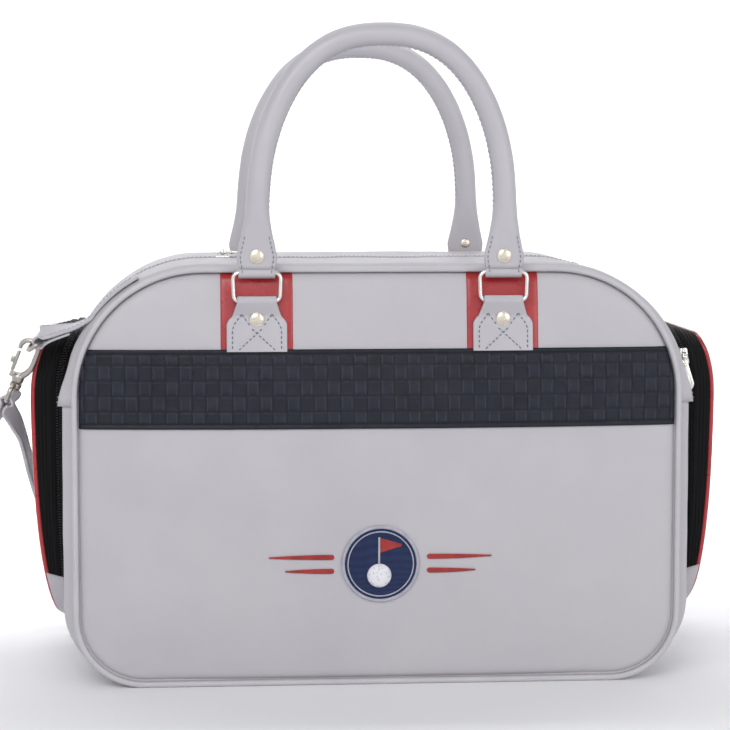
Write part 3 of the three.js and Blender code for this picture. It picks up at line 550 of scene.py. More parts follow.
def edge_distance(x, z):
    """How far a point of the front face lies inside the panel's edge."""
    dx = half_width(z, PANEL_INSET) - np.abs(x)
    dz = np.minimum(z - PANEL_INSET, HEIGHT - PANEL_INSET - z)
    corner_z = np.where(z > MIDDLE_Z, z - (HEIGHT - TOP_CORNER), BASE_CORNER - z)
    radius = np.where(z > MIDDLE_Z, TOP_CORNER, BASE_CORNER)
    corner_x = np.abs(x) - (HALF_WIDTH - radius)
    round_part = (corner_x > 0) & (corner_z > 0)
    in_corner = radius - PANEL_INSET - np.hypot(corner_x, corner_z)
    return np.maximum(0, np.where(round_part, in_corner, np.minimum(dx, dz)))


def panel_depth(x, z):
    """How far the padded face stands in front of the seam plane before it is puffed up."""
    inside = edge_distance(x, z)
    roll = -SEAM_DEPTH * np.exp(-inside / 2.6)
    return roll + crown(x, z)


def make_panel():
    zs = panel_rows()[:, None]
    xs = panel_shares()[None, :] * half_width(zs, PANEL_INSET)
    zs = np.broadcast_to(zs, xs.shape)
    depth = panel_depth(xs, zs)
    points = np.stack([xs, -(SEAM_Y + depth), zs], axis=2)
    panel = skin("front_panel_leather", points, WHITE)
    if panel.data.polygons[len(panel.data.polygons) // 2].normal.y > 0:
        panel.data.flip_normals()
    return panel


def puff(obj, held, pressure, frames, limit):
    """Swells a sheet by cloth simulation: points marked in `held` stay put and none moves more than limit."""
    rest = np.zeros(len(obj.data.vertices) * 3)
    obj.data.vertices.foreach_get("co", rest)
    rest = rest.reshape(-1, 3)
    pins = obj.vertex_groups.new(name="pins")
    for i in np.flatnonzero(held > 0):
        pins.add([int(i)], float(held[i]), "REPLACE")
    cloth = obj.modifiers.new("puff", "CLOTH")
    settings = cloth.settings
    settings.quality = 5
    settings.mass = 0.35
    settings.tension_stiffness = settings.compression_stiffness = 22
    settings.shear_stiffness = 12
    settings.bending_stiffness = 3.0
    settings.air_damping = 2.5
    settings.use_pressure = True
    settings.uniform_pressure_force = pressure
    settings.vertex_group_mass = "pins"
    settings.effector_weights.gravity = 0
    cloth.collision_settings.use_collision = False
    scene = bpy.context.scene
    scene.frame_end = frames
    for number in range(1, frames + 1):
        scene.frame_set(number)
    swollen = obj.evaluated_get(bpy.context.evaluated_depsgraph_get()).data
    moved = np.zeros(len(rest) * 3)
    swollen.vertices.foreach_get("co", moved)
    shift = moved.reshape(-1, 3) - rest
    obj.modifiers.remove(cloth)
    obj.vertex_groups.remove(pins)
    scene.frame_set(1)
    length = np.maximum(1e-9, np.linalg.norm(shift, axis=1, keepdims=True))
    shift *= np.tanh(length / (limit * MM)) * limit * MM / length
    obj.data.vertices.foreach_set("co", (rest + shift).ravel())
    obj.data.update()
    return obj


def finish_panel(panel):
    """Puffs the panel up and adds the small waves of leather over foam."""
    count = len(panel.data.vertices)
    points = np.array([v.co for v in panel.data.vertices]) / MM
    inside = edge_distance(points[:, 0], points[:, 2])
    puff(panel, 1 - smooth(1.5, 16, inside), PANEL_PRESSURE, PANEL_FRAMES, MOST_PUFF)
    points = np.array([v.co for v in panel.data.vertices]) / MM
    fade = smooth(0.5, 22, inside)
    for i in range(count):
        if fade[i] > 0:
            p = points[i]
            wave = wobble((p[0], 0, p[2]), 62, 0.9) + wobble((p[0] + 90, 40, p[2]), 23, 0.28)
            pucker = 0.45 * math.exp(-inside[i] / 9) * noise.noise(Vector((p[0], 9, p[2])) / 12)
            points[i, 1] -= fade[i] * (wave + pucker)
    panel.data.vertices.foreach_set("co", (points * MM).ravel())
    panel.data.update()
    subdivide = panel.modifiers.new("smooth_leather", "SUBSURF")
    subdivide.levels = subdivide.render_levels = 1
    return panel


front_panel = finish_panel(make_panel())
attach(front_panel, "bag")
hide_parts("front_panel")

evaluated = front_panel.evaluated_get(bpy.context.evaluated_depsgraph_get())
panel_tree = BVHTree.FromPolygons([v.co.copy() for v in evaluated.data.vertices],
                                  [tuple(p.vertices) for p in evaluated.data.polygons])


def face_y(x, z):
    """The y, in mm, of the front panel's finished face."""
    hit = panel_tree.ray_cast(Vector((x * MM, -0.3, z * MM)), Vector((0, 1, 0)))[0]
    return hit.y / MM if hit else -SEAM_Y + SEAM_DEPTH


def on_face(x, z, lift=0.0):
    """A point in front of the front panel by lift."""
    return vec(x, face_y(x, z) - lift, z)


def face_normal(x, z, step=1.5):
    along = on_face(x + step, z) - on_face(x - step, z)
    up = on_face(x, z + step) - on_face(x, z - step)
    return unit(np.cross(along, up))


def keep(obj, body, slot, *nodes):
    """Settles a finished piece: the body it rides on and the CAD nodes it stands for; slot is not used."""
    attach(obj, body)
    if nodes:
        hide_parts(*nodes)
    return obj


def keep_both(obj, back_name, slot, front_body, back_body, *nodes):
    """The same for a piece of the front and its mirror image at the back; nodes are named without front_."""
    copy = mirrored(obj, back_name, 1)
    keep(obj, front_body, slot, *["front_" + n for n in nodes])
    keep(copy, back_body, slot, *["back_" + n for n in nodes])
    return copy


back_panel = mirrored(front_panel, "back_panel_leather", 1)
keep(back_panel, "bag", "white_leather", "back_panel")


# ---- Stitches ----
def stitch_line(path, normals, material, pitch=3.4, length=2.3, radius=0.36, name="stitches", lift=0.18):
    """Short thread stitches along a line that lies on leather, joined in one mesh."""
    points = resample(np.hstack([np.asarray(path, float), np.asarray(normals, float)]), pitch)
    verts, faces = [], []
    sides = 6
    profile = [(-0.5, 0.05, -0.5), (-0.4, 0.8, 0.25), (-0.15, 1.0, 0.75), (0.15, 1.0, 0.75), (0.4, 0.8, 0.25),
               (0.5, 0.05, -0.5)]
    for a, b in zip(points[:-1], points[1:]):
        centre = (a[:3] + b[:3]) / 2
        along = unit(b[:3] - a[:3])
        out = unit((a[3:] + b[3:]) / 2)
        side = unit(np.cross(along, out))
        out = np.cross(side, along)
        base = len(verts)
        for share, size, rise in profile:
            hub = centre + along * share * length + out * (lift + rise * radius)
            for k in range(sides):
                t = 2 * math.pi * k / sides
                verts.append(hub + size * radius * (math.cos(t) * side + 0.8 * math.sin(t) * out))
        faces += grid_faces(len(profile), sides, close_columns=True, start=base)
    return mesh_object(name, verts, faces, material)


# ---- Gussets, piping and the main zip ----
GUSSET_Y = 107.4
EDGE_ROLL = 6.5
EDGE_INSET = 4.6
SIDE_BULGE = 6.6
LEATHER = 1.6
ZIP_GAP = 6.2  # half the opening between the top gussets
OVERLAP_Z = 208.0  # the top gusset ends here, over the side gusset


def gusset_ys(from_y, to_y):
    """Places across the gusset, close together along its rolled edge."""
    near_edge = GUSSET_Y - np.array([0, 0.25, 0.7, 1.4, 2.3, 3.4, 4.8, 6.5, 9, 13, 19, 27, 37, 49])
    ys = np.concatenate([-near_edge, [-56, -42, -28, -14, 0, 14, 28, 42, 56], near_edge[::-1]])
    ys = ys[(ys > from_y + 0.6) & (ys < to_y - 0.6)]
    return np.concatenate([[from_y], ys, [to_y]])


def gusset_offset(x, z, y, down):
    """How far the gusset stands outside the outline: its rolled edge and the padded side."""
    inside = np.maximum(0, GUSSET_Y - abs(y))
    t = min(1.0, inside / EDGE_ROLL)
    roll = -EDGE_INSET + (EDGE_INSET + 0.5) * math.sqrt(max(0, 1 - (1 - t) ** 2))
    side = smooth(12, 62, z) * (1 - 0.55 * smooth(205, 240, z)) * (1 - smooth(240, 300, z))
    pad = smooth(1, 6, inside) * (1 - 0.8 * smooth(9, 17, inside))
    padded = SIDE_BULGE * side * pad * (1 if abs(x) > 150 else 0.15)
    if down > 0.6:
        return min(roll, -0.05)
    return roll + padded


def gusset_grid(stations, ys, lift=0.0):
    """Points over the gusset for outline stations (x, z, out x, out z) and places across."""
    grid = np.zeros((len(stations), len(ys), 3))
    lifts = np.broadcast_to(lift, len(stations))
    for i, (x, z, nx, nz) in enumerate(stations):
        n = math.hypot(nx, nz)
        nx, nz = nx / n, nz / n
        for j, y in enumerate(ys):
            off = gusset_offset(x, z, y, -nz) + lifts[i]
            fade = smooth(0, 12, GUSSET_Y - abs(y)) * (0.25 if nz < -0.6 else 1)
            ripple = fade * (wobble((x, y, z), 46, 0.7) + wobble((x, y + 50, z), 17, 0.25))
            if nz < -0.6:
                ripple = -abs(ripple)
            grid[i, j] = (x + (off + ripple) * nx, y, z + (off + ripple) * nz)
    return grid


def make_gusset(name, stations, from_y, to_y, lift=0.0, thick=LEATHER, material=WHITE):
    ys = gusset_ys(from_y, to_y)
    outer = gusset_grid(stations, ys, lift)
    inner = gusset_grid(stations, ys, lift - thick)
    return slab(name, outer, inner, material)


def split_outline():
    """Outline stations of the U-shaped side strip and of the top strip, which overlaps it."""
    loop = outline(0)
    n = len(loop)
    left_foot = int(np.argmin(np.hypot(loop[:, 0] + HALF_WIDTH, loop[:, 1] - OVERLAP_Z - 4)))
    right_foot = int(np.argmin(np.hypot(loop[:, 0] - HALF_WIDTH, loop[:, 1] - OVERLAP_Z - 4)))
    side = np.array([loop[(left_foot + k) % n] for k in range((right_foot - left_foot) % n + 1)])
    start = int(np.argmin(np.hypot(loop[:, 0] - HALF_WIDTH, loop[:, 1] - OVERLAP_Z)))
    end = int(np.argmin(np.hypot(loop[:, 0] + HALF_WIDTH, loop[:, 1] - OVERLAP_Z)))
    top = np.array([loop[(start + k) % n] for k in range((end - start) % n + 1)])
    top[0, 1] = top[-1, 1] = OVERLAP_Z
    return side, top


side_stations, top_stations = split_outline()
body_gusset = make_gusset("side_and_base_leather", side_stations, -GUSSET_Y, GUSSET_Y)
keep(body_gusset, "bag", "white_leather", "body_gusset")

OVERLAP_LIFT = 1.4
FOOT_FLARE = 2.2  # the top gusset stands away from the side at its sewn end
FLARE_LENGTH = 26.0


def top_lift(z):
    return OVERLAP_LIFT + FOOT_FLARE * (1 - smooth(OVERLAP_Z, OVERLAP_Z + FLARE_LENGTH, z))


top_lifts = np.array([top_lift(s[1]) for s in top_stations])
top_gusset = make_gusset("top_leather_front", top_stations, -GUSSET_Y, -ZIP_GAP, top_lifts)
mouth = gusset_grid(top_stations, [-ZIP_GAP - 2.6], top_lifts)[:, 0]
mouth_out = [unit(vec(s[2], 0, s[3])) for s in top_stations]
mouth_stitches = stitch_line(mouth, mouth_out, STITCH_WHITE, name="mouth_stitches")
ends = []
for end in (0, -1):
    nx, nz = top_stations[end][2:]
    for up in (3.0, 6.5):
        ys = np.arange(-GUSSET_Y + 5, -ZIP_GAP - 3, 3.0)
        line = [vec(HALF_WIDTH * np.sign(nx), y, OVERLAP_Z + up) for y in ys]
        line = [p + vec((gusset_offset(p[0], p[2], p[1], 0) + top_lift(p[2])) * np.sign(nx), 0, 0)
                for p in line]
        ends.append(stitch_line(line, [vec(nx, 0, 0)] * len(line), STITCH_WHITE, lift=0.5))
top_gusset = join("top_leather_front", [top_gusset, mouth_stitches, *ends])
keep_both(top_gusset, "top_leather_back", "white_leather", "bag", "bag")
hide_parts("top_gusset_front")
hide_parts("top_gusset_back")


def make_piping(name, path, radius, material, hint=(0, 1, 0), pucker=0.1):
    """A covered cord: round, with the small puckers that leather gets when it is sewn round a bend."""
    points = resample(path, 2.4, closed=True)
    sections = []
    for p in points:
        r = radius + pucker * noise.noise(Vector(p) / 5.0) + 0.5 * pucker * noise.noise(Vector(p) / 1.7)
        sections.append(circle_section(r, 14))
    return sweep(name, points, hint, sections, material, closed=True)


PIPING_Y = -109.6
cord_path = np.array([(x, PIPING_Y, z) for x, z, _, _ in outline(PIPING_R)])
piping = make_piping("front_piping_cord", cord_path, PIPING_R, WHITE_EDGE)
keep_both(piping, "back_piping_cord", "white_leather", "bag", "bag", "piping")

# The narrow sewn flange that closes the groove between the cord and the panel, and the cord and the gusset.
flange = []
for inset, y in ((PIPING_R + 2.6, -106.6), (PIPING_R + 1.2, -106.4)):
    flange.append([(x, y, z) for x, z, _, _ in outline(inset)])
seam = skin("front_seam_allowance", np.array(flange), WHITE_EDGE, close_columns=True)
keep_both(seam, "back_seam_allowance", "white_leather", "bag", "bag")


def zip_teeth(name, path, outs, pitch, spread, material, size=(0.95, 2.9, 1.3)):
    """The two interlocked rows of a nylon coil along a path; outs is the way out of the cloth."""
    points = resample(np.hstack([np.asarray(path, float), np.asarray(outs, float)]), pitch / 2)
    verts, faces = [], []
    long, wide, high = np.array(size) / 2
    box = [(sx * long, sy * wide, sz * high * (0.55 if abs(sy) > 0.5 else 1)) for sx in (-1, 1)
           for sy, sz in ((-1, -1), (1, -1), (1, 1), (0.45, 1.35), (-0.45, 1.35), (-1, 1))]
    for k, (a, b) in enumerate(zip(points[:-1], points[1:])):
        along = unit(b[:3] - a[:3])
        out = unit(a[3:])
        across = np.cross(out, along)
        centre = (a[:3] + b[:3]) / 2 + across * (spread if k % 2 else -spread)
        base = len(verts)
        verts += [centre + along * x + across * y + out * z for x, y, z in box]
        faces += [tuple(base + q for q in range(6))[::-1], tuple(base + 6 + q for q in range(6))]
        faces += [(base + q, base + (q + 1) % 6, base + 6 + (q + 1) % 6, base + 6 + q) for q in range(6)]
    return mesh_object(name, verts, faces, material)


def zip_strip(name, path, outs, tape_half, material, thick=0.8):
    """The flat tape behind the coil."""
    line = resample(np.hstack([np.asarray(path, float), np.asarray(outs, float)]), 3.0)
    centre, out = line[:, :3], line[:, 3:]
    along = np.gradient(centre, axis=0)
    across = np.cross(out, along)
    across /= np.linalg.norm(across, axis=1)[:, None]
    shares = np.linspace(-1, 1, 9)
    top = centre[:, None, :] + across[:, None, :] * (shares * tape_half)[None, :, None]
    return slab(name, top, top - out[:, None, :] * thick, material)


chain_stations = top_stations
chain_out = np.array([unit(vec(s[2], 0, s[3])) for s in chain_stations])
chain_path = np.array([vec(s[0], 0, s[1]) for s in chain_stations])
main_tape = zip_strip("main_zip_tape", chain_path - chain_out * 0.9, chain_out, ZIP_GAP + 3.5, TAPE)
main_teeth = zip_teeth("main_zip_coil", chain_path + chain_out * 0.1, chain_out, 2.0, 1.15, COIL)
main_zip = join("main_zip", [main_tape, main_teeth])
keep(main_zip, "bag", "black_tape", "main_zip_chain")


# ---- Woven band ----
CELL_WIDE = 9.8
CELL_HIGH = 11.3
WEAVE_DEPTH = 1.7
TURNED_EDGE = 3.4
BAND_LIFT = 1.3


def weave_height(x, z):
    """Height from 0 to 1 of plain-woven flat strips."""
    u = x / CELL_WIDE
    v = (z - BAND_BASE - TURNED_EDGE + 2.2) / CELL_HIGH
    column, row = np.floor(u), np.floor(v)
    a, b = np.abs(u - column - 0.5) * 2, np.abs(v - row - 0.5) * 2
    upright = (column + row) % 2 == 0
    along = np.where(upright, b, a)
    across = np.where(upright, a, b)
    # These heights shape the relief, and the woven material also paints its highest parts lighter (painted
    # highlight) and its lowest parts darker (painted shade).
    pillow = 0.86 - 0.3 * along ** 4 - np.where(upright, 0.1, 0.26)
    lip = np.where(upright, 0.3, 0.12) * np.exp(-((across - 0.76) / 0.09) ** 2)
    groove = smooth(0.84, 0.97, across) * np.where(upright, 0.97, 0.35)
    dive = smooth(0.9, 1.0, along) * np.where(upright, 0.3, 0.9)
    return np.clip((pillow + lip) * (1 - groove) * (1 - dive), 0, 1)


def band_height(x, z):
    top, base = BAND_TOP - z, z - BAND_BASE
    edge = np.minimum(top, base)
    turned = 0.62 * np.sqrt(np.clip(1 - (1 - edge / 1.1) ** 2, 0, 1))
    turned = np.where(edge > 1.1, 0.62, turned) + 0.06 * weave_height(x, np.full_like(z, 215.0))
    groove = 1 - np.exp(-((edge - TURNED_EDGE) / 0.75) ** 2)
    woven = weave_height(x, z)
    return np.where(edge < TURNED_EDGE, turned, woven) * groove


def make_band():
    zs = np.concatenate([[BAND_BASE], np.arange(BAND_BASE + 0.3, BAND_TOP - 0.2, 0.82), [BAND_TOP]])
    columns = np.linspace(-1, 1, 481)
    rows, heights = [], []
    for z in zs:
        xs = columns * (float(half_width(z, PANEL_INSET)) - 0.8)
        drift = np.array([wobble((x, 0, z), 30, 0.5) for x in xs])
        height = band_height(xs + drift, np.full_like(xs, z))
        spread = np.array([0.75 + 0.5 * noise.noise(Vector((x / 13, 3, z / 13))) for x in xs])
        lifts = BAND_LIFT + WEAVE_DEPTH * height * np.clip(spread, 0.5, 1.15)
        rows.append([on_face(x, z, lift) for x, lift in zip(xs, lifts)])
        heights.append(height)
    rows = [[p + vec(0, 1.4, 0) for p in rows[0]], *rows, [p + vec(0, 1.4, 0) for p in rows[-1]]]
    heights = [heights[0] * 0, *heights, heights[-1] * 0]
    band = skin("front_woven_leather", rows, NAVY)
    # The height attribute drives the woven material's painted highlight on raised edges and painted shade in
    # grooves.
    colour_points(band, "height", heights)
    return band


band = make_band()
keep_both(band, "back_woven_leather", "navy_weave", "bag", "bag", "woven_band")


# ---- Red accents under the handle tabs ----
ACCENT_HALF = 26.3
ACCENT_LIFT = 1.0


def make_accent(side):
    x0 = side * HANDLE_X
    xs = x0 + np.concatenate([[-ACCENT_HALF, -ACCENT_HALF + 0.5], np.linspace(-25, 25, 21),
                              [ACCENT_HALF - 0.5, ACCENT_HALF]])
    zs = np.concatenate([np.linspace(BAND_TOP - 1.5, 300, 24), [301.5, 303, 304.2, 305]])
    lifts = np.concatenate([[0.2, 0.8], np.full(21, ACCENT_LIFT), [0.8, 0.2]])
    outer = [[on_face(x, z, lift + 0.12 * noise.noise(Vector((x, 0, z)) / 6)) for x, lift in zip(xs, lifts)]
             for z in zs]
    inner = [[on_face(x, z, -0.4) for x in xs] for z in zs]
    return slab(f"accent_{side}", outer, inner, RED)


# ---- Handle tabs ----
TAB_HALF = 22.0
NECK_HALF = 14.4
TAB_OUTER = 3.6  # lift of the tab's face off the panel
TAB_INNER = 1.5
LOOP_OUTER = 3.9
LOOP_INNER = 1.9
TAB_FLAT_Z = 275.0


def tab_half_width(z):
    return mix(TAB_HALF, NECK_HALF, float(smooth(267.5, 281, z)))


def tab_row(x, kind, at, lift, radius):
    """One point of the tab: on the panel at a height, or round the ring's bar at an angle."""
    if kind == "panel":
        return on_face(x, at, lift)
    t = math.radians(at)
    return vec(x, BAR_Y - radius * math.cos(t), LOWER_BAR_Z + radius * math.sin(t))


def make_tab(side):
    x0 = side * HANDLE_X
    stations = [("panel", z) for z in np.linspace(BAND_TOP - 1.5, TAB_FLAT_Z, 14)]
    stations += [("bar", a) for a in (-12, 8, 30, 55, 80, 105, 130, 155, 180)]
    shares = np.array([-1, -0.985, -0.95, -0.85, -0.68, -0.5, -0.3, -0.1, 0.1, 0.3, 0.5, 0.68, 0.85, 0.95,
                       0.985, 1])
    round_edge = np.array([0.75, 0.3, 0.06] + [0] * 10 + [0.06, 0.3, 0.75])
    layers = {}
    for layer, lift, radius in (("outer", TAB_OUTER, LOOP_OUTER), ("inner", TAB_INNER, LOOP_INNER)):
        rows = []
        for kind, at in stations:
            half = tab_half_width(at) if kind == "panel" else NECK_HALF
            drop = round_edge if layer == "outer" else 0 * round_edge
            rows.append([tab_row(x0 + half * s, kind, at, lift - d, radius - d)
                         for s, d in zip(shares, drop)])
        rows.append([p + vec(0, 0.8, -6) for p in rows[-1]])
        grid = np.array(rows)
        layers[layer] = np.array([spline(grid[:, j], 3) for j in range(grid.shape[1])]).transpose(1, 0, 2)
    tab = slab(f"tab_{side}", layers["outer"], layers["inner"], WHITE_GLOSS)

    inset = 4.2
    sides_z = np.linspace(BAND_TOP, 276.5, 12)
    lines = [[(x0 + s * (tab_half_width(z + 2.5) - inset), z) for z in sides_z] for s in (-1, 1)]
    top_half = tab_half_width(279) - inset + 0.8
    lines.append([(x0 - top_half, 277.3), (x0 + top_half, 277.3)])
    cross = 13.5
    lines += [[(x0 - s * top_half, 276.3), (x0 - s * 4.8, 267.2)] for s in (-1, 1)]
    lines += [[(x0 - s * 4.0, 265.5), (x0 + s * cross, 249.5)] for s in (-1, 1)]
    threads = []
    for line in lines:
        dense = resample(line, 2.0)
        lift = [TAB_OUTER + 1.2 * float(smooth(275, 279, z)) for _, z in dense]
        path = [on_face(x, z, h) for (x, z), h in zip(dense, lift)]
        threads.append(stitch_line(path, [face_normal(x, z) for x, z in dense], STITCH_BLUE))
    return join(f"tab_{side}", [tab, *threads])


RIVET_PROFILE = [(0.01, 1.55), (1.8, 1.5), (3.2, 1.3), (4.1, 1.0), (4.45, 0.82), (4.6, 0.86), (4.85, 0.9),
                 (5.1, 0.8),
                 (5.2, 0.5), (5.2, 0.1), (5.05, -0.3), (4.6, -0.45), (0.01, -0.5)]
WASHER_PROFILE = [(0.01, 0.9), (2.6, 0.85), (3.4, 0.6), (3.8, 0.2), (3.8, -0.2), (0.01, -0.25)]


def make_rivet(name, x, y, z, back_y=None):
    """A capped rivet facing the front; with back_y it also has a plain washer that faces the back."""
    parts = [lathe(name, RIVET_PROFILE, (x, y, z), (0, -1, 0), CHAMPAGNE)]
    if back_y is not None:
        parts.append(lathe(name + "_washer", WASHER_PROFILE, (x, back_y, z), (0, 1, 0), CHAMPAGNE))
        parts.append(lathe(name + "_shank", [(1.7, 0), (1.7, back_y - y)], (x, y, z), (0, 1, 0), CHAMPAGNE,
                           12))
    return join(name, parts)


def make_ring(name, x0):
    """A rounded rectangular wire ring on the two bars."""
    top, low, r = 17.3, 16.9, 4.6
    corners = [(top - r, UPPER_BAR_Z - r, 0), (-top + r, UPPER_BAR_Z - r, 1), (-low + r, LOWER_BAR_Z + r, 2),
               (low - r, LOWER_BAR_Z + r, 3)]
    path = []
    for cx, cz, turn in corners:
        for k in range(9):
            t = (turn + k / 8) * math.pi / 2
            path.append(vec(x0 + cx + r * math.cos(t), BAR_Y, cz + r * math.sin(t)))
    return sweep(name, resample(path, 1.6, closed=True), (0, 1, 0), circle_section(1.5, 14), NICKEL,
                 closed=True)


# ---- Handles ----
HANDLE_RISE = 172.0
LEG_BOW = 4.6
HANDLE_LEAN = 2.2  # the arch leans a little to one side
GRIP_R = 8.3
LOOP_MIDDLE = 2.75  # from the ring's bar to the middle of the loop's leather


def handle_point(share):
    t = math.pi * (1 - share)
    c, s = math.cos(t), math.sin(t)
    reach = HANDLE_X + LEG_BOW
    x = reach * math.copysign(abs(c) ** 0.82, c) - LEG_BOW * c ** 21
    rise = max(0.0, s) ** 0.82
    return vec(x + HANDLE_LEAN * rise, BAR_Y, UPPER_BAR_Z + HANDLE_RISE * rise)


FOOT_HALF = [(306, 13.2), (309, 13.4), (313, 14.1), (316.5, 14.9), (319, 14.6), (323, 13.6), (328, 12.5),
             (333, 11.4),
             (339, 10.3), (347, 9.1), (357, 8.5), (368, GRIP_R)]
FOOT_THICK = [(306, 3.3), (312, 3.3), (320, 3.5), (328, 4.4), (338, 5.9), (348, 7.3), (358, 8.1),
              (368, GRIP_R)]


def super_section(a, b, power, sides=32):
    t = (np.arange(sides) + 0.5) / sides * 2 * math.pi
    c, s = np.cos(t), np.sin(t)
    return np.stack([a * np.sign(c) * np.abs(c) ** (2 / power), b * np.sign(s) * np.abs(s) ** (2 / power)],
                    axis=1)


def make_handle():
    fine = np.array([handle_point(s) for s in np.linspace(0.0, 1.0, 2400)])
    fine = fine[fine[:, 2] > 308.5]
    path = resample(fine, 3.0)
    widths, heights = zip(*FOOT_HALF), zip(*FOOT_THICK)
    wide_z, wide = list(widths)
    thick_z, thick = list(heights)
    sections = []
    for p in path:
        a, b = np.interp(p[2], wide_z, wide), np.interp(p[2], thick_z, thick)
        power = mix(5.0, 2.0, float(smooth(312, 352, p[2])))
        swell = 1 + 0.022 * noise.noise(Vector(p) / 24) + 0.012 * noise.noise(Vector(p) / 8)
        sections.append(super_section(a * swell, b * swell, power))
    grip = sweep("front_handle_leather", path, (0, 1, 0), [s[:, ::-1] for s in sections], WHITE_GLOSS)
    parts = [grip]
    for side in (-1, 1):
        x0 = side * HANDLE_X
        turns = [math.radians(90 - a) for a in (0, 22, 45, 68, 90, 112, 135, 158, 180)]
        bend = [(-LOOP_MIDDLE * math.cos(t), LOOP_MIDDLE * math.sin(t)) for t in turns]
        loop = [(-2.6, 5.0), *bend, (2.6, 5.0)]
        line = spline([vec(x0, BAR_Y + y, UPPER_BAR_Z + z) for y, z in loop], 2)
        parts.append(sweep(f"loop_{side}", line, (1, 0, 0), strap_section(13.3, 0.9, 0.6, 3, 8), WHITE_GLOSS))
        for s in (-1, 1):
            edge = [(x0 + s * (np.interp(z, wide_z, wide) - 2.6), z) for z in np.linspace(305, 333, 14)]
            path_out = [vec(x, BAR_Y - np.interp(z, thick_z, thick) * 0.985 - 0.1, z) for x, z in edge]
            parts.append(stitch_line(path_out, [vec(0, -1, 0)] * len(edge), STITCH_BLUE, radius=0.32))
    inside = path[(path[:, 2] > 345)]
    inward = frames_along(inside, (0, 1, 0))[2]
    centre = vec(0, BAR_Y, 360)
    inward = np.array([d if np.dot(centre - p, d) > 0 else -d for p, d in zip(inside, inward)])
    lip = []
    for s in (-1, 1):
        rail = inside + inward * (GRIP_R - 0.2) + vec(0, s * 2.3, 0)
        lip.append(stitch_line(rail, inward + vec(0, s * 0.25, 0), STITCH_WHITE, pitch=4.0, length=2.8,
                               radius=0.4, lift=0.1))
    seam = sweep("grip_seam", inside + inward * (GRIP_R - 0.05), (0, 1, 0), super_section(1.0, 0.35, 2.0, 8),
                 WHITE_EDGE)
    return join("front_handle_leather", [*parts, *lip, seam])


handle = make_handle()
keep_both(handle, "back_handle_leather", "white_leather", "front_handle", "back_handle", "handle")

for word, side in (("left", -1), ("right", 1)):
    x0 = side * HANDLE_X
    accent = make_accent(side)
    accent.name = f"front_{word}_accent_leather"
    keep_both(accent, f"back_{word}_accent_leather", "red_leather", "bag", "bag", f"{word}_accent")
    tab = make_tab(side)
    tab.name = f"front_{word}_tab_leather"
    keep_both(tab, f"back_{word}_tab_leather", "white_leather", "bag", "bag", f"{word}_handle_tab")
    rivet = make_rivet(f"front_{word}_tab_rivet_cap", x0, face_y(x0, TAB_RIVET_Z) - TAB_OUTER - 0.2,
                       TAB_RIVET_Z)
    keep_both(rivet, f"back_{word}_tab_rivet_cap", "nickel", "bag", "bag", f"{word}_tab_rivet")
    ring = make_ring(f"front_{word}_ring_wire", x0)
    keep_both(ring, f"back_{word}_ring_wire", "nickel", f"front_{word}_ring", f"back_{word}_ring",
              f"{word}_ring")
    cap = make_rivet(f"front_{word}_handle_rivet_cap", x0, BAR_Y - 3.5, HANDLE_RIVET_Z, BAR_Y + 3.4)
    keep_both(cap, f"back_{word}_handle_rivet_cap", "nickel", "front_handle", "back_handle",
              f"{word}_handle_rivet")


# ---- Zip sliders and pulls, in a local frame: X along the zip, Y across, Z out of the cloth ----
PULL_LENGTH = 27.0
PIN_UP = 5.9


def plate(name, shape, low, high, material, soft=0.35):
    """A flat plate with the (x, y) shape given, between two heights."""
    count = len(shape)
    points = [(x, y, z) for z in (low, high) for x, y in shape]
    faces = [tuple(range(count))[::-1], tuple(range(count, 2 * count))]
    faces += [(i, (i + 1) % count, count + (i + 1) % count, count + i) for i in range(count)]
    return bend_edges(mesh_object(name, points, faces, material), soft)


def apply_modifiers(obj):
    evaluated = obj.evaluated_get(bpy.context.evaluated_depsgraph_get())
    mesh = bpy.data.meshes.new_from_object(evaluated)
    obj.modifiers.clear()
    obj.data = mesh
    return obj


def slider_shape(long, wide, narrow):
    """A slider's plate: round shoulders at the wide end, drawn in towards the tail."""
    half = [(-long, 0), (-long, narrow * 0.8), (-long * 0.8, narrow), (-long * 0.1, narrow * 1.02),
            (long * 0.45, wide * 0.92), (long * 0.8, wide), (long * 0.98,
                                                             wide * 0.8), (long, wide * 0.3), (long, 0)]
    return [(x, y) for x, y in half] + [(x, -y) for x, y in half[-2:0:-1]]


def local_slider(name):
    top = plate(name, slider_shape(6.2, 4.3, 2.9), 1.7, 3.0, NICKEL)
    foot = plate("foot", slider_shape(6.2, 4.3, 2.9), 0.35, 1.1, NICKEL, 0.2)
    walls = [plate("wall", [(-5.6, s * 3.0), (4.6, s * 4.0), (4.6, s * 3.4), (-5.6, s * 2.4)], 1.0, 1.8,
                   NICKEL, 0.15)
             for s in (-1, 1)]
    t = np.linspace(0, math.pi, 15)
    arch = np.stack([-0.3 - 4.1 * np.cos(t), 0 * t, 2.7 + 4.4 * np.sin(t) ** 0.7], axis=1)
    bridge = sweep("bridge", arch, (0, 1, 0), strap_section(1.35, 0.6, 0.4, 3, 3), NICKEL)
    parts = [apply_modifiers(p) for p in (top, foot, *walls)]
    return join(name, [*parts, bridge])


def pull_shape():
    half = [(1.8, 1.7), (6.0, 2.9), (12.0, 4.6), (PULL_LENGTH - 7.5, 6.9)]
    half += [(PULL_LENGTH - 7 + 7 * math.sin(t), 7 * math.cos(t))
             for t in np.linspace(0.08, math.pi / 2 - 0.12, 9)]
    return half + [(x, -y) for x, y in reversed(half)]


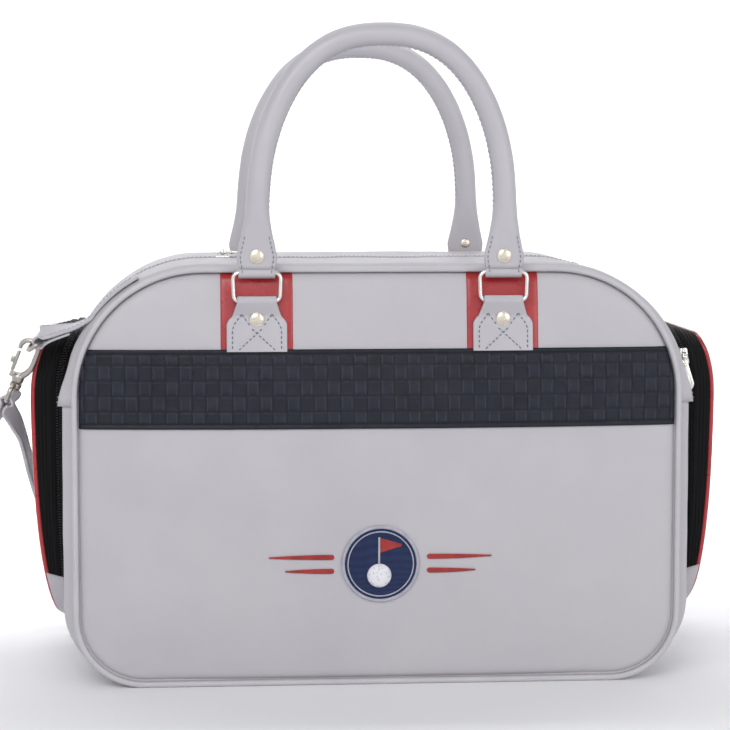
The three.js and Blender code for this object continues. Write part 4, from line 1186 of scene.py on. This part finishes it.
def local_pull(name):
    body = plate(name, pull_shape(), PIN_UP - 0.7, PIN_UP + 0.7, NICKEL, 0.3)
    parts = [apply_modifiers(body)]
    parts.append(lathe("knuckle", [(0.6, -1.9), (2.0, -1.9), (2.3, -1.5), (2.3, 1.5), (2.0, 1.9), (0.6, 1.9)],
                       (0, 0, PIN_UP), (0, 1, 0), NICKEL, 16))
    for up in (1, -1):
        dome = [(0.01, 0.75), (1.1, 0.6), (1.7, 0.25), (1.8, -0.1), (0.01, -0.15)]
        parts.append(lathe("dot", dome, (6.2, 0, PIN_UP + up * 0.7), (0, 0, up), CHAMPAGNE, 16))
        rim = [(x * 0.86 + 2.4, y * 0.72, PIN_UP + up * 0.72) for x, y in pull_shape()[2:-2]]
        parts.append(sweep("rim", resample(rim, 1.5, closed=True), (0, 0, 1), circle_section(0.28, 6),
                           NICKEL, closed=True))
    return join(name, parts)


def place(obj, origin, along, out):
    along, out = unit(vec(*along)), unit(vec(*out))
    side = np.cross(out, along)
    matrix = Matrix([(*(along[i], side[i], out[i]), origin[i] * MM) for i in range(3)] + [(0, 0, 0, 1)])
    obj.data.transform(matrix)
    return obj


MAIN_SLIDER_X = -112.0
main_slider = place(local_slider("main_slider"), (MAIN_SLIDER_X, 0, HEIGHT), (1, 0, 0), (0, 0, 1))
keep(main_slider, "main_zip_slider", "nickel", "main_zip_slider")
main_pull = place(local_pull("main_pull"), (MAIN_SLIDER_X, 0, HEIGHT), (1, 0, 0), (0, 0, 1))
keep(main_pull, "main_zip_pull", "nickel", "main_zip_pull")


# ---- Shoe pockets on the ends ----
POCKET_HALF = 80.0
POCKET_BASE = 42.0
POCKET_TOP = 264.0
POCKET_TOP_DROP = 7.0  # the outer edge lies this much below the edge on the body
POCKET_FULL_Z = 205.0
POCKET_DRAW_IN = 15.0
ZIP_SHARE = 0.33
POCKET_SLIDER_Z = 240.0
POCKET_SLIDE_END_Z = 130.0
BASE_TRIM_Z = 76.0  # white leather covers the pocket's wall below this
WALL_TAPE = ribbed_fabric("black_ribbed_wall", (0.005, 0.0053, 0.0068), (0.0006, 0.0007, 0.001), 2.4, "X")


def body_x(z):
    return half_width(z) + 0.6


def outer_x(z):
    z = np.asarray(z, float)
    high = np.maximum(0, z - POCKET_FULL_Z) / (POCKET_TOP - 2 - POCKET_FULL_Z)
    return HALF_WIDTH + 9 + 21.5 * (1 - np.exp(-(z - POCKET_BASE) / 50)) - POCKET_DRAW_IN * high ** 2.6


def pocket_outline(share, inset, steps=10):
    """Loop of (y, z, out y, out z) of the pocket between the body (share 0) and its outer edge (share 1)."""
    base = POCKET_BASE + 6 * share + inset
    top = POCKET_TOP - POCKET_TOP_DROP * share - inset
    wide = POCKET_HALF - inset
    arcs = []
    for sy, z, radius, turn in ((1, top, 18 - inset, 0), (-1, top, 18 - inset, 1), (-1, base, 30 - inset, 2),
                                (1, base, 30 - inset, 3)):
        cy = sy * (wide - radius)
        cz = z - radius if turn < 2 else z + radius
        t = (turn + np.linspace(0, 1, steps + 1)) * math.pi / 2
        arcs.append(np.stack([cy + radius * np.cos(t), cz + radius * np.sin(t), np.cos(t), np.sin(t)],
                             axis=1))
    lengths = (34, 45, 34, 45)
    loop = []
    for i, arc in enumerate(arcs):
        t = np.linspace(0, 1, lengths[i] + 1)[1:-1, None]
        loop += [arc, mix(arc[-1], arcs[(i + 1) % 4][0], t)]
    return np.vstack(loop)


def pocket_point(p0, p1, share, lift, push=0.0):
    """A point on the wall for matching outline points at shares 0 and 1."""
    flat = mix(p0, p1, share)
    x = mix(float(body_x(p0[1])), float(outer_x(p1[1])), share) + push
    return vec(x, flat[0] + lift * flat[2], flat[1] + lift * flat[3])


POCKET_BODY = pocket_outline(0, 0)
POCKET_OUTER = pocket_outline(1, 0)


def wall_lift(share):
    """Relief across the wall: a folded edge on each side of the zip, which lies in a shallow trough."""
    trough = -1.1 * math.exp(-((share - ZIP_SHARE) / 0.13) ** 4)
    folds = 0.55 * (math.exp(-((share - 0.14) / 0.035) ** 2) + math.exp(-((share - 0.57) / 0.035) ** 2))
    ribs = 0.22 * math.cos(2 * math.pi * share * 10)
    return trough + folds + ribs * (1 if share > 0.6 or share < 0.1 else 0.4)


def wall_piece(name, shares, keep_point, material, lift=0.0, thick=1.4):
    index = [i for i, p in enumerate(POCKET_BODY) if keep_point(p[1])]
    starts = [k for k in range(len(index)) if index[k] - index[k - 1] not in (1, 1 - len(POCKET_BODY))]
    if starts:
        index = index[starts[0]:] + index[:starts[0]]
    rows = {d: [[pocket_point(POCKET_BODY[i], POCKET_OUTER[i], s, d + wall_lift(s) * (lift == 0)
                              + 0.25 * noise.noise(Vector((POCKET_BODY[i][0], POCKET_BODY[i][1],
                                                           s * 30)) / 14))
                 for i in index] for s in shares] for d in (lift, lift - thick)}
    return slab(name, rows[lift], rows[lift - thick], material)


def coil_row(name, share):
    loop = [i for i, p in enumerate(POCKET_BODY) if p[1] > BASE_TRIM_Z - 2]
    cut = [k for k in range(len(loop)) if loop[k] - loop[k - 1] != 1][-1]
    loop = loop[cut:] + loop[:cut]
    path = [pocket_point(POCKET_BODY[i], POCKET_OUTER[i], share, -0.55) for i in loop]
    outs = [vec(0, *mix(POCKET_BODY[i], POCKET_OUTER[i], share)[2:]) for i in loop]
    return zip_teeth(name, path, outs, 2.0, 1.15, COIL)


def rounded_half(z, inset):
    """Half the flap's width at a height."""
    base, top, wide = POCKET_BASE + 6 + inset, POCKET_TOP - POCKET_TOP_DROP - inset, POCKET_HALF - inset
    low, high = np.maximum(0, base + 30 - inset - z), np.maximum(0, z - (top - 18 + inset))
    radius = np.where(low > 0, 30 - inset, 18 - inset)
    return wide - radius + np.sqrt(np.maximum(0, radius ** 2 - np.maximum(low, high) ** 2))


CORD_INSET = 3.0


def flap_distance(y, z):
    base, top = POCKET_BASE + 6 + CORD_INSET, POCKET_TOP - POCKET_TOP_DROP - CORD_INSET
    return np.maximum(0, np.minimum(rounded_half(z, CORD_INSET) - np.abs(y), np.minimum(z - base, top - z)))


def make_flap_face():
    base, top = POCKET_BASE + 6 + CORD_INSET, POCKET_TOP - POCKET_TOP_DROP - CORD_INSET
    lower = base + (30 - CORD_INSET) * (1 - np.sin(np.linspace(math.pi / 2, 0, 9)))
    upper = top - (18 - CORD_INSET) * (1 - np.sin(np.linspace(0, math.pi / 2, 8)))
    zs = np.concatenate([lower, np.linspace(lower[-1], upper[0], 26)[1:-1], upper])[:, None]
    edge = np.array([0, 0.01, 0.025, 0.045, 0.07, 0.1, 0.14])
    left = np.concatenate([edge, np.linspace(0.19, 1, 14)]) - 1
    ys = np.concatenate([left, -left[-2::-1]])[None, :] * rounded_half(zs, CORD_INSET)
    zs = np.broadcast_to(zs, ys.shape)
    inside = flap_distance(ys, zs)
    bulge = 4.6 * smooth(-6, 60, inside) - 1.6 * np.exp(-inside / 2.2) - 0.5
    face = skin("flap_face", np.stack([outer_x(zs) + bulge, ys, zs], axis=2), WHITE)
    if face.data.polygons[len(face.data.polygons) // 2].normal.x < 0:
        face.data.flip_normals()
    puff(face, 1 - smooth(1.0, 12, inside.ravel()), 2.6, 14, 2.2)
    face.data.update()
    lining = face.copy()
    lining.data = face.data.copy()
    bpy.context.scene.collection.objects.link(lining)
    lining.data.transform(Matrix.Translation((-2.4 * MM, 0, 0)))
    lining.data.flip_normals()
    lining.data.materials[0] = LINING
    subdivide = face.modifiers.new("smooth_leather", "SUBSURF")
    subdivide.levels = subdivide.render_levels = 1
    return apply_modifiers(face), lining


def build_right_pocket():
    """All pieces of the right pocket: name -> (object, slot, the CAD node's ending, flap or bag)."""
    above = lambda z: z > BASE_TRIM_Z - 3
    below = lambda z: z < BASE_TRIM_Z
    wall = wall_piece("wall", np.linspace(0, ZIP_SHARE - 0.05, 16), above, WALL_TAPE)
    trim = wall_piece("wall_trim", np.linspace(0, ZIP_SHARE - 0.03, 8), below, WHITE, 1.0)
    coil = coil_row("coil", ZIP_SHARE)
    wall = join("pocket_wall_cloth", [wall, coil])
    rim = wall_piece("rim", np.linspace(ZIP_SHARE + 0.05, 1, 26), above, WALL_TAPE)
    rim_trim = wall_piece("rim_trim", np.linspace(ZIP_SHARE + 0.03, 1, 12), below, WHITE, 1.0)
    face, lining = make_flap_face()
    flap = join("pocket_flap_leather", [face, rim, rim_trim, lining])
    cord_path = [vec(float(outer_x(z)) - 0.4, y, z) for y, z, _, _ in pocket_outline(1, 1.1)]
    cord = make_piping("pocket_piping_cord", cord_path, 1.75, RED, (1, 0, 0), 0.06)
    zip_x = lambda z: mix(float(body_x(z)), float(outer_x(z)), ZIP_SHARE)
    along = (zip_x(POCKET_SLIDE_END_Z) - zip_x(POCKET_SLIDER_Z), 0, POCKET_SLIDE_END_Z - POCKET_SLIDER_Z)
    origin = (zip_x(POCKET_SLIDER_Z), -POCKET_HALF, POCKET_SLIDER_Z)
    slider = place(local_slider("pocket_slider"), origin, along, (0, -1, 0))
    pull = place(local_pull("pocket_pull"), origin, along, (0, -1, 0))
    return [
        (wall, "black_tape", "pocket_wall", "bag"),
        (trim, "white_leather", None, "bag"),
        (flap, "white_leather", "pocket_flap", "flap"),
        (cord, "red_leather", "pocket_piping", "flap"),
        (slider, "nickel", "pocket_zip_slider", "slider"),
        (pull, "nickel", "pocket_zip_pull", "pull"),
    ]


def turned_round(obj, name):
    """A copy turned half a turn about Z: the left pocket's zip closes at the back."""
    copy = obj.copy()
    copy.data = obj.data.copy()
    copy.name = name
    bpy.context.scene.collection.objects.link(copy)
    copy.data.transform(Matrix.Rotation(math.pi, 4, "Z"))
    return copy


for piece, slot, node, rider in build_right_pocket():
    base_name = piece.name
    piece.name = "right_" + base_name
    left_name = "left_" + base_name
    copy = turned_round(piece, left_name) if rider in ("slider", "pull") else mirrored(piece, left_name, 0)
    bodies = {"bag": ("bag", "bag"), "flap": ("right_pocket_flap", "bag"),
              "slider": ("right_pocket_zip_slider", "left_pocket_zip_slider"),
              "pull": ("right_pocket_zip_pull", "left_pocket_zip_pull")}[rider]
    keep(piece, bodies[0], slot, *(["right_" + node] if node else []))
    keep(copy, bodies[1], slot, *(["left_" + node] if node else []))


# ---- Badge: a plain round patch with a golf ball and a pennant ----
BADGE_Z = 92.0
BADGE_R = 27.5


def patch(name, shape, lift, thick, material, round_off=0.5):
    """A raised patch on the front face: a fan of rings from the middle out to the (x, z) shape's edge."""
    shape = np.array(shape, float)
    centre = shape.mean(axis=0)
    rings = []
    for share, drop in ((0.02, 0), (0.5, 0), (0.85, 0), (0.95, 0.12), (0.99, 0.4), (1.0, 1.0)):
        ring = centre + (shape - centre) * share
        rings.append([on_face(x, z, lift + thick * (1 - round_off * drop)) for x, z in ring])
    rings.append([on_face(x, z, lift - 0.2) for x, z in shape])
    return skin(name, rings, material, close_columns=True, caps=True)


def circle(cx, cz, r, count=48):
    t = np.arange(count) / count * 2 * math.pi
    return np.stack([cx + r * np.cos(t), cz + r * np.sin(t)], axis=1)


def bar_shape(x0, x1, z, half):
    """A short bar with one round end and one tapering end."""
    side = 1 if x1 > x0 else -1
    t = np.linspace(math.pi / 2, 1.5 * math.pi, 9)
    start = [(x0 + side * half * math.cos(a), z + half * math.sin(a)) for a in t]
    body = [(mix(x0, x1, s), z - half * (1 - 0.75 * s ** 2)) for s in np.linspace(0.1, 1, 12)]
    back = [(mix(x0, x1, s), z + half * (1 - 0.75 * s ** 2)) for s in np.linspace(1, 0.1, 12)]
    return start + body + back


def make_badge():
    disc = patch("badge", circle(0, BADGE_Z, BADGE_R), 0.1, 1.3, BADGE_NAVY)
    parts = [disc]
    for radius, cord_r, material in ((BADGE_R, 1.15, STITCH_WHITE), (BADGE_R - 3.4, 0.45, STITCH_WHITE)):
        loop = resample(circle(0, BADGE_Z, radius, 96), 1.3, closed=True)
        lift = 1.0 if radius == BADGE_R else 1.55
        path = np.array([on_face(x, z, lift) for x, z in loop])
        sections = [circle_section(cord_r * (1 + 0.13 * (k % 2)), 10) for k in range(len(path))]
        parts.append(sweep("badge_cord", path, (0, 1, 0), sections, material, closed=True))
    ball_z = BADGE_Z - 8.5
    centre = on_face(-1.0, ball_z, 1.1)
    dome = [(9.0 * math.cos(t), 4.2 * math.sin(t)) for t in np.linspace(math.pi / 2 - 0.02, 0, 14)]
    parts.append(lathe("ball", dome + [(8.8, -0.4)], centre, (0, -1, 0), BALL, 36))
    pole = patch("pole", [(-1.9, BADGE_Z - 1.5), (-0.5, BADGE_Z - 1.5), (-0.5, BADGE_Z + 20),
                          (-1.9, BADGE_Z + 20)], 1.2, 1.0, STITCH_WHITE)
    flag = patch("pennant", [(-0.4, BADGE_Z + 19.5), (-0.4, BADGE_Z + 8.5), (15.5, BADGE_Z + 13.2),
                             (15.5, BADGE_Z + 14.8)], 1.2, 1.1, STITCH_RED)
    parts += [pole, flag]
    for side in (-1, 1):
        for x1, dz in ((82, 5.2), (70, -5.2)):
            parts.append(patch("bar", bar_shape(side * 36, side * x1, BADGE_Z + dz, 1.9), 0.1, 1.0,
                               STITCH_RED))
    return join("front_badge_patch", parts)


def golf_ball():
    n = Nodes("golf_ball_embroidery")
    dimple = n.ramp(n.cells(2.6), 0.05, 0.35)
    # Painted shade: each dimple is painted darker, in step with its bump.
    n.surface(Base_Color=n.blend(dimple, (0.42, 0.43, 0.5), (0.74, 0.73, 0.77)), Roughness=0.55,
              Normal=n.bump(dimple, 0.35, normal=n.bump(n.wave(0.6, "Z"), 0.08)))
    return n.material


BALL = golf_ball()
keep(make_badge(), "bag", "badge", "front_badge")


# ---- Shoulder strap: end tabs, D rings, snap hooks, eyes and the strap itself ----
STRAP_HALF = 10.2
STRAP_THICK = 1.5  # half the strap's thickness
EYE_LENGTH = 42.5
EYE_TOP = -31.5
EYE_WIRE = 1.7
ENDS = {
    "left": dict(
        angles=(118, 122, 127, 133, 138, 142, 145, 148), bar=vec(-246, -95, 259),
        axis=unit(vec(0.34, 0.82, 0.45)), ring=unit(vec(-0.624, 0.559, -0.547)),
        hook=unit(vec(-0.36, 0.2, -0.91)), gate=vec(-1, 0, 0), turned=False,
    ),
    "right": dict(
        angles=(62, 58, 52, 44, 38, 31, 26, 20), bar=vec(239, 95.5, 232),
        axis=vec(0, 1, 0), ring=unit(vec(0.45, 0, -0.89)),
        hook=unit(vec(0.1, 0, -1)), gate=vec(1, 0, 0), turned=True,
    ),
}
D_REACH = 13.2
D_BOW = 15.0


def hanging_axes(end):
    """The hook's own axes: X towards its gate, Y along the ring's wire, Z up its shank."""
    up = -end["hook"]
    along = unit(end["axis"] - up * np.dot(end["axis"], up))
    out = np.cross(along, up)
    if np.dot(out, end["gate"]) < 0:
        along, out = -along, -out
    return out, along, up


def put_down(obj, origin, axes):
    x, y, z = axes
    obj.data.transform(Matrix([(x[i], y[i], z[i], origin[i] * MM) for i in range(3)] + [(0, 0, 0, 1)]))
    return obj


def flat_strap(name, stations, material, stitches=STITCH_WHITE, steps=4, inset=2.2, seams=(-1, 1)):
    """A strap through stations (point, width direction, half thickness), its edges stitched on both faces."""
    rows = np.array([[*p, *unit(w), b] for p, w, b in stations])
    smooth_rows = spline(rows, steps)
    path, hints, thick = smooth_rows[:, :3], smooth_rows[:, 3:6], smooth_rows[:, 6]
    sections = [strap_section(STRAP_HALF, max(0.5, b), min(0.75, max(0.45, b)), 3, 8) for b in thick]
    parts = [sweep(name, path, hints, sections, material)]
    _, u, v = frames_along(path, hints)
    for face in (-1, 1):
        for side in seams:
            line = path + u * side * (STRAP_HALF - inset) + v * (face * thick)[:, None]
            parts.append(stitch_line(line[2:-2], (v * face)[2:-2], stitches, radius=0.3, lift=0.1))
    return join(name, parts)


def make_end_tab(name, end):
    side = math.copysign(1, end["bar"][0])
    radius = TOP_CORNER + STRAP_THICK + 2.2
    stations = []
    for degrees in end["angles"]:
        t = math.radians(degrees)
        p = vec(side * (HALF_WIDTH - TOP_CORNER) + radius * math.cos(t), end["bar"][1],
                HEIGHT - TOP_CORNER + radius * math.sin(t))
        stations.append((p, vec(0, 1, 0), 1.3))
    start = stations.pop()[0]
    way = end["bar"] - start
    length = np.linalg.norm(way)
    way = way / length
    normal = unit(np.cross(way, end["axis"]))
    if normal[2] < 0:
        normal = -normal
    lean = lambda d: unit(mix(vec(0, 1, 0), end["axis"], min(1.0, d / length)))
    for d in (length * 0.25, length * 0.5, length * 0.72):
        sag = normal * (0.8 + 1.6 * d / length)
        stations.append((start + way * d + sag, lean(d), 1.2))
    for degrees in (100, 60, 20, -20, -60, -100):
        t = math.radians(degrees)
        stations.append((end["bar"] + (normal * math.sin(t) + way * math.cos(t)) * 3.0, end["axis"], 0.9))
    for d in (length * 0.72, length * 0.4):
        stations.append((start + way * d - normal * 1.7, lean(d), 0.9))
    return flat_strap(name, stations, WHITE_GLOSS, steps=3)


def make_d_ring(name, end):
    bar, axis, down = end["bar"], end["axis"], end["ring"]
    path = [bar + axis * D_REACH * k for k in (-1, -0.5, 0, 0.5, 1)]
    path += [bar + axis * D_REACH * math.cos(t) + down * D_BOW * math.sin(t)
             for t in np.linspace(0, math.pi, 25)[1:-1]]
    return sweep(name, resample(path, 1.4, closed=True), np.cross(axis, down), circle_section(1.6, 12),
                 GUNMETAL, closed=True)


def make_snap_hook(name):
    """A trigger snap hook: a flattened arc, a swelling neck, a shank and the post that the eye turns on."""
    stations = []
    for degrees in np.linspace(-15, 180, 18):
        t = math.radians(degrees)
        grow = smooth(-15, 30, degrees)
        stations.append((6.8 * math.cos(t), -2.3 + 6.8 * math.sin(t), 2.0 * (0.75 + 0.25 * float(grow))))
    stations += [(-6.8, -7, 2.0), (-6.8, -12, 2.05), (-6.4, -16, 2.2), (-4.6, -20, 2.4), (-2.0, -23.5, 2.6),
                 (0, -26, 2.6)]
    path = np.array([vec(x, 0, z) for x, z, _ in stations])
    sections = [super_section(r * 1.15, r * 0.95, 2.4, 14) for _, _, r in stations]
    arm = sweep(name, path, (0, 1, 0), sections, GUNMETAL)
    profile = [(0.01, -22), (3.2, -22.2), (4.2, -23), (4.5, -24.6), (4.5, -27.4), (4.1, -28.4), (3.0, -29.3),
               (1.9, -29.8),
               (1.8, -34), (3.1, -34.1), (3.4, -34.6), (3.1, -35.3), (0.01, -35.6)]
    barrel = lathe("barrel", profile, (0, 0, 0), (0, 0, 1), GUNMETAL, 20)
    seat = plate("seat", [(1.5, -2.1), (6.6, -2.1), (7.2, -1.2), (7.2, 1.2), (6.6, 2.1), (1.5, 2.1)], -26.4,
                 -22.6, GUNMETAL, 0.5)
    return join(name, [arm, barrel, apply_modifiers(seat)])


def make_gate(name):
    blade = plate(name, [(5.3, -2.0), (7.5, -2.0), (7.5, 2.0), (5.3, 2.0)], -22.0, -6.4, GUNMETAL, 0.45)
    thumb = plate("thumb", [(7.3, -2.6), (9.2, -2.4), (10.0, -1.2), (10.0, 1.2), (9.2, 2.4), (7.3, 2.6)],
                  -16.0, -12.0, GUNMETAL, 0.6)
    return join(name, [apply_modifiers(blade), apply_modifiers(thumb)])


def make_eye(name):
    wide, r = STRAP_HALF + 2.8, 3.0
    low = -EYE_LENGTH
    corners = [(wide - r, EYE_TOP - r, 0), (-wide + r, EYE_TOP - r, 1), (-wide + r, low + r, 2),
               (wide - r, low + r, 3)]
    path = [vec(0, cy + r * math.cos((turn + k / 6) * math.pi / 2),
                cz + r * math.sin((turn + k / 6) * math.pi / 2))
            for cy, cz, turn in corners for k in range(7)]
    frame_wire = sweep(name, resample(path, 1.5, closed=True), (1, 0, 0), circle_section(EYE_WIRE, 12),
                       GUNMETAL, closed=True)
    collar = [(2.3, EYE_TOP - 1.8), (4.0, EYE_TOP - 1.9), (4.4, EYE_TOP - 1.2), (4.4, EYE_TOP + 1.2),
              (4.0, EYE_TOP + 1.8), (2.3, EYE_TOP + 1.7)]
    return join(name, [frame_wire, lathe("collar", collar, (0, 0, 0), (0, 0, 1), GUNMETAL, 20)])


FLOOR_Y, FLOOR_BOW, FLOOR_END, FLOOR_LIFT = 148.0, 20.0, 150.0, 1.4


def floor_y(x):
    return FLOOR_Y + FLOOR_BOW * math.cos(x / FLOOR_END * math.pi / 2)


# Each station of the hanging strap: a point and the direction of the strap's width there.
LEFT_DROP = [
    ((-270.5, -56, 196), (0.05, 0.6, 0.8)),
    ((-267.5, -28, 184), (0, 0.5, 0.87)),
    ((-266, 6, 168), (0, 0.5, 0.87)),
    ((-264.5, 44, 148), (0.05, 0.6, 0.8)),
    ((-260, 84, 122), (0.15, 0.75, 0.65)),
    ((-251, 112, 92), (0.25, 0.85, 0.5)),
    ((-236, 130, 60), (0.3, 0.9, 0.3)),
    ((-214, 142, 28), (0.1, 1, 0.1)),
    ((-184, 147, 9), (0, 1, 0)),
]
RIGHT_DROP = [
    ((253, 96, 146), (1, 0.1, 0)),
    ((253, 106, 116), (0.9, 0.4, 0)),
    ((247, 120, 84), (0.6, 0.75, 0)),
    ((234, 133, 52), (0.3, 0.95, 0)),
    ((212, 142, 26), (0, 1, 0)),
    ((184, 146, 8), (0, 1, 0)),
]


def strap_half(name, origin, axes, drop, side, leave):
    """Half of the strap: folded round its eye's bar, down to the floor and along it to the middle."""
    bar = origin - axes[2] * EYE_LENGTH
    wide = axes[1]
    leave = unit(vec(*leave))
    normal = unit(np.cross(wide, leave))
    stations = [(bar + leave * 26 - normal * 2.4, wide, 0.85), (bar + leave * 12 - normal * 2.8, wide, 0.9)]
    for degrees in (-95, -50, 0, 50, 95):
        t = math.radians(degrees)
        stations.append((bar + (normal * math.sin(t) - leave * math.cos(t)) * 3.2, wide, 0.95))
    stations.append((bar + leave * 8 + normal * 1.6, wide, 1.2))
    stations += [(vec(*p), vec(*w), STRAP_THICK) for p, w in drop]
    z = STRAP_THICK + FLOOR_LIFT
    stations += [(vec(x, floor_y(x), z), vec(0, 1, 0), STRAP_THICK)
                 for x in side * np.arange(FLOOR_END, -1, -30)]
    fixed = []
    last = None
    for p, w, b in stations:
        w = unit(w)
        if last is not None and np.dot(w, last) < 0:
            w = -w
        fixed.append((p, w, b))
        last = w
    return flat_strap(name, fixed, WHITE_GLOSS, steps=5)


def build_fittings(word, end):
    body_eye, body_hook = f"{word}_hook_eye", f"{word}_strap_hook"
    axes = hanging_axes(end)
    tip = end["bar"] + end["ring"] * D_BOW
    eye_axes = (axes[1], -axes[0], axes[2]) if end["turned"] else axes
    keep(make_end_tab(f"{word}_end_tab", end), "bag", "white_leather", f"{word}_strap_tab")
    keep(make_d_ring(f"{word}_d_ring", end), f"{word}_strap_ring", "nickel", f"{word}_strap_ring")
    keep(put_down(make_snap_hook(f"{word}_snap_hook"), tip, axes), body_hook, "nickel", body_hook)
    keep(put_down(make_gate(f"{word}_gate_blade"), tip, axes), f"{word}_hook_gate", "nickel",
         f"{word}_hook_gate")
    keep(put_down(make_eye(f"{word}_eye_frame"), tip, eye_axes), body_eye, "nickel", body_eye)
    return tip, eye_axes


left_tip, left_axes = build_fittings("left", ENDS["left"])
right_tip, right_axes = build_fittings("right", ENDS["right"])
left_strap = strap_half("strap_left_half", left_tip, left_axes, LEFT_DROP, -1, (-0.3, 0.6, -0.75))
right_strap = strap_half("strap_right_half", right_tip, right_axes, RIGHT_DROP, 1, (0.03, 0.05, -1))
for strap, eye, start, tip, axes in ((left_strap, "left_hook_eye", (-236, 130, 60), left_tip, left_axes),
                                     (right_strap, "right_hook_eye", (234, 133, 52), right_tip, right_axes)):
    tuple(vec(*start) * MM)
    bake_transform(strap)
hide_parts("shoulder_strap")


def make_slide_buckle():
    """A flat three-bar slide where the two lengths of the strap overlap on the floor."""
    z = STRAP_THICK + FLOOR_LIFT
    y = floor_y(0)
    wide, long, r = STRAP_HALF + 2.6, 10.0, 2.5
    path = []
    for cx, cy, turn in ((long - r, wide - r, 0), (-long + r, wide - r, 1), (-long + r, -wide + r, 2),
                         (long - r, -wide + r, 3)):
        path += [vec(cx + r * math.cos((turn + k / 6) * math.pi / 2),
                     y + cy + r * math.sin((turn + k / 6) * math.pi / 2), z + 1.8)
                 for k in range(7)]
    frame_wire = sweep("buckle", resample(path, 1.5, closed=True), (0, 0, 1),
                       super_section(1.2, 1.5, 3.0, 12), GUNMETAL, closed=True)
    bar = sweep("bar", [vec(0, y - wide, z + 2.4), vec(0, y, z + 2.4), vec(0, y + wide, z + 2.4)], (0, 0, 1),
                circle_section(1.2, 10), GUNMETAL)
    return join("slide_buckle", [frame_wire, bar])


keep(make_slide_buckle(), "bag", "nickel", "strap_adjuster")


# ---- CAD nodes that stay: the lining and the base board, inside the bag ----
for node, material in (("lining", LINING), ("base_board", board())):
    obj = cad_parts[node]
    obj.data.materials.clear()
    obj.data.materials.append(material)
    bend_edges(obj, 0.5)


# ---- Stage ----
WORLD_SIDE = 1.05
WORLD_ABOVE = 0.22


def area_light(name, position, target, size, power, colour=(1, 1, 1)):
    data = bpy.data.lights.new(name, "AREA")
    data.shape = "RECTANGLE"
    data.size, data.size_y = size
    data.energy = power
    data.color = colour
    light = bpy.data.objects.new(name, data)
    light.location = position
    light.rotation_euler = (Vector(target) - Vector(position)).to_track_quat("-Z", "Y").to_euler()
    bpy.context.scene.collection.objects.link(light)


def make_world():
    """Even white light from the walls, dimmer from overhead."""
    world = bpy.data.worlds.new("studio_world")
    bpy.context.scene.world = world
    world.use_nodes = True
    tree = world.node_tree
    direction = tree.nodes.new("ShaderNodeTexCoord").outputs["Generated"]
    split = tree.nodes.new("ShaderNodeSeparateXYZ")
    tree.links.new(direction, split.inputs[0])
    fade = tree.nodes.new("ShaderNodeMapRange")
    fade.inputs["From Max"].default_value = 0.9
    fade.inputs["To Min"].default_value = WORLD_SIDE
    fade.inputs["To Max"].default_value = WORLD_ABOVE
    tree.links.new(split.outputs["Z"], fade.inputs["Value"])
    background = tree.nodes["Background"]
    background.inputs["Color"].default_value = (0.95, 0.955, 1.0, 1)
    tree.links.new(fade.outputs["Result"], background.inputs["Strength"])


def make_stage():
    floor_mat = painted_floor()
    rows = []
    for k in range(40):
        t = k / 39
        y = -3000 + 6000 * min(1, t / 0.7)
        rise = 0
        if t > 0.7:
            a = (t - 0.7) / 0.3 * math.pi / 2
            y, rise = 3000 + 1500 * math.sin(a), 1500 * (1 - math.cos(a))
        rows.append([vec(x, y, rise - 0.02) for x in np.linspace(-5000, 5000, 9)])
    rows.append([vec(x, 4500, 5000) for x in np.linspace(-5000, 5000, 9)])
    floor = skin("studio_floor", rows, floor_mat)
    if floor.data.polygons[0].normal.z < 0:
        floor.data.flip_normals()
    make_world()
    area_light("key", (-0.9, -2.4, 1.7), (0, 0, 0.2), (1.8, 1.4), 33)
    area_light("fill", (1.6, -2.0, 0.9), (0, 0, 0.2), (1.6, 1.6), 13)
    area_light("top", (0.0, 0.4, 2.6), (0, 0, 0.1), (2.4, 2.0), 2)
    area_light("backdrop", (0.0, 0.9, 2.4), (0.0, 3.6, 0.6), (3.0, 1.6), 130)


def make_camera():
    data = bpy.data.cameras.new("camera")
    data.lens = CAMERA_FOCAL / IMAGE_SIDE * 36
    data.sensor_width = 36
    camera = bpy.data.objects.new("camera", data)
    camera.location = [c * MM for c in CAMERA_AT]
    camera.rotation_euler = Euler((math.radians(90 + CAMERA_PITCH), 0, math.radians(CAMERA_YAW)), "XYZ")
    bpy.context.scene.collection.objects.link(camera)
    bpy.context.scene.camera = camera


IMAGE_SIDE = 730
CAMERA_FOCAL = 2460.0
CAMERA_AT = (-150.0, -1901.0, 395.0)
CAMERA_PITCH = -5.01
CAMERA_YAW = -4.45

make_stage()
make_camera()
bpy.context.scene.view_settings.view_transform = "Standard"
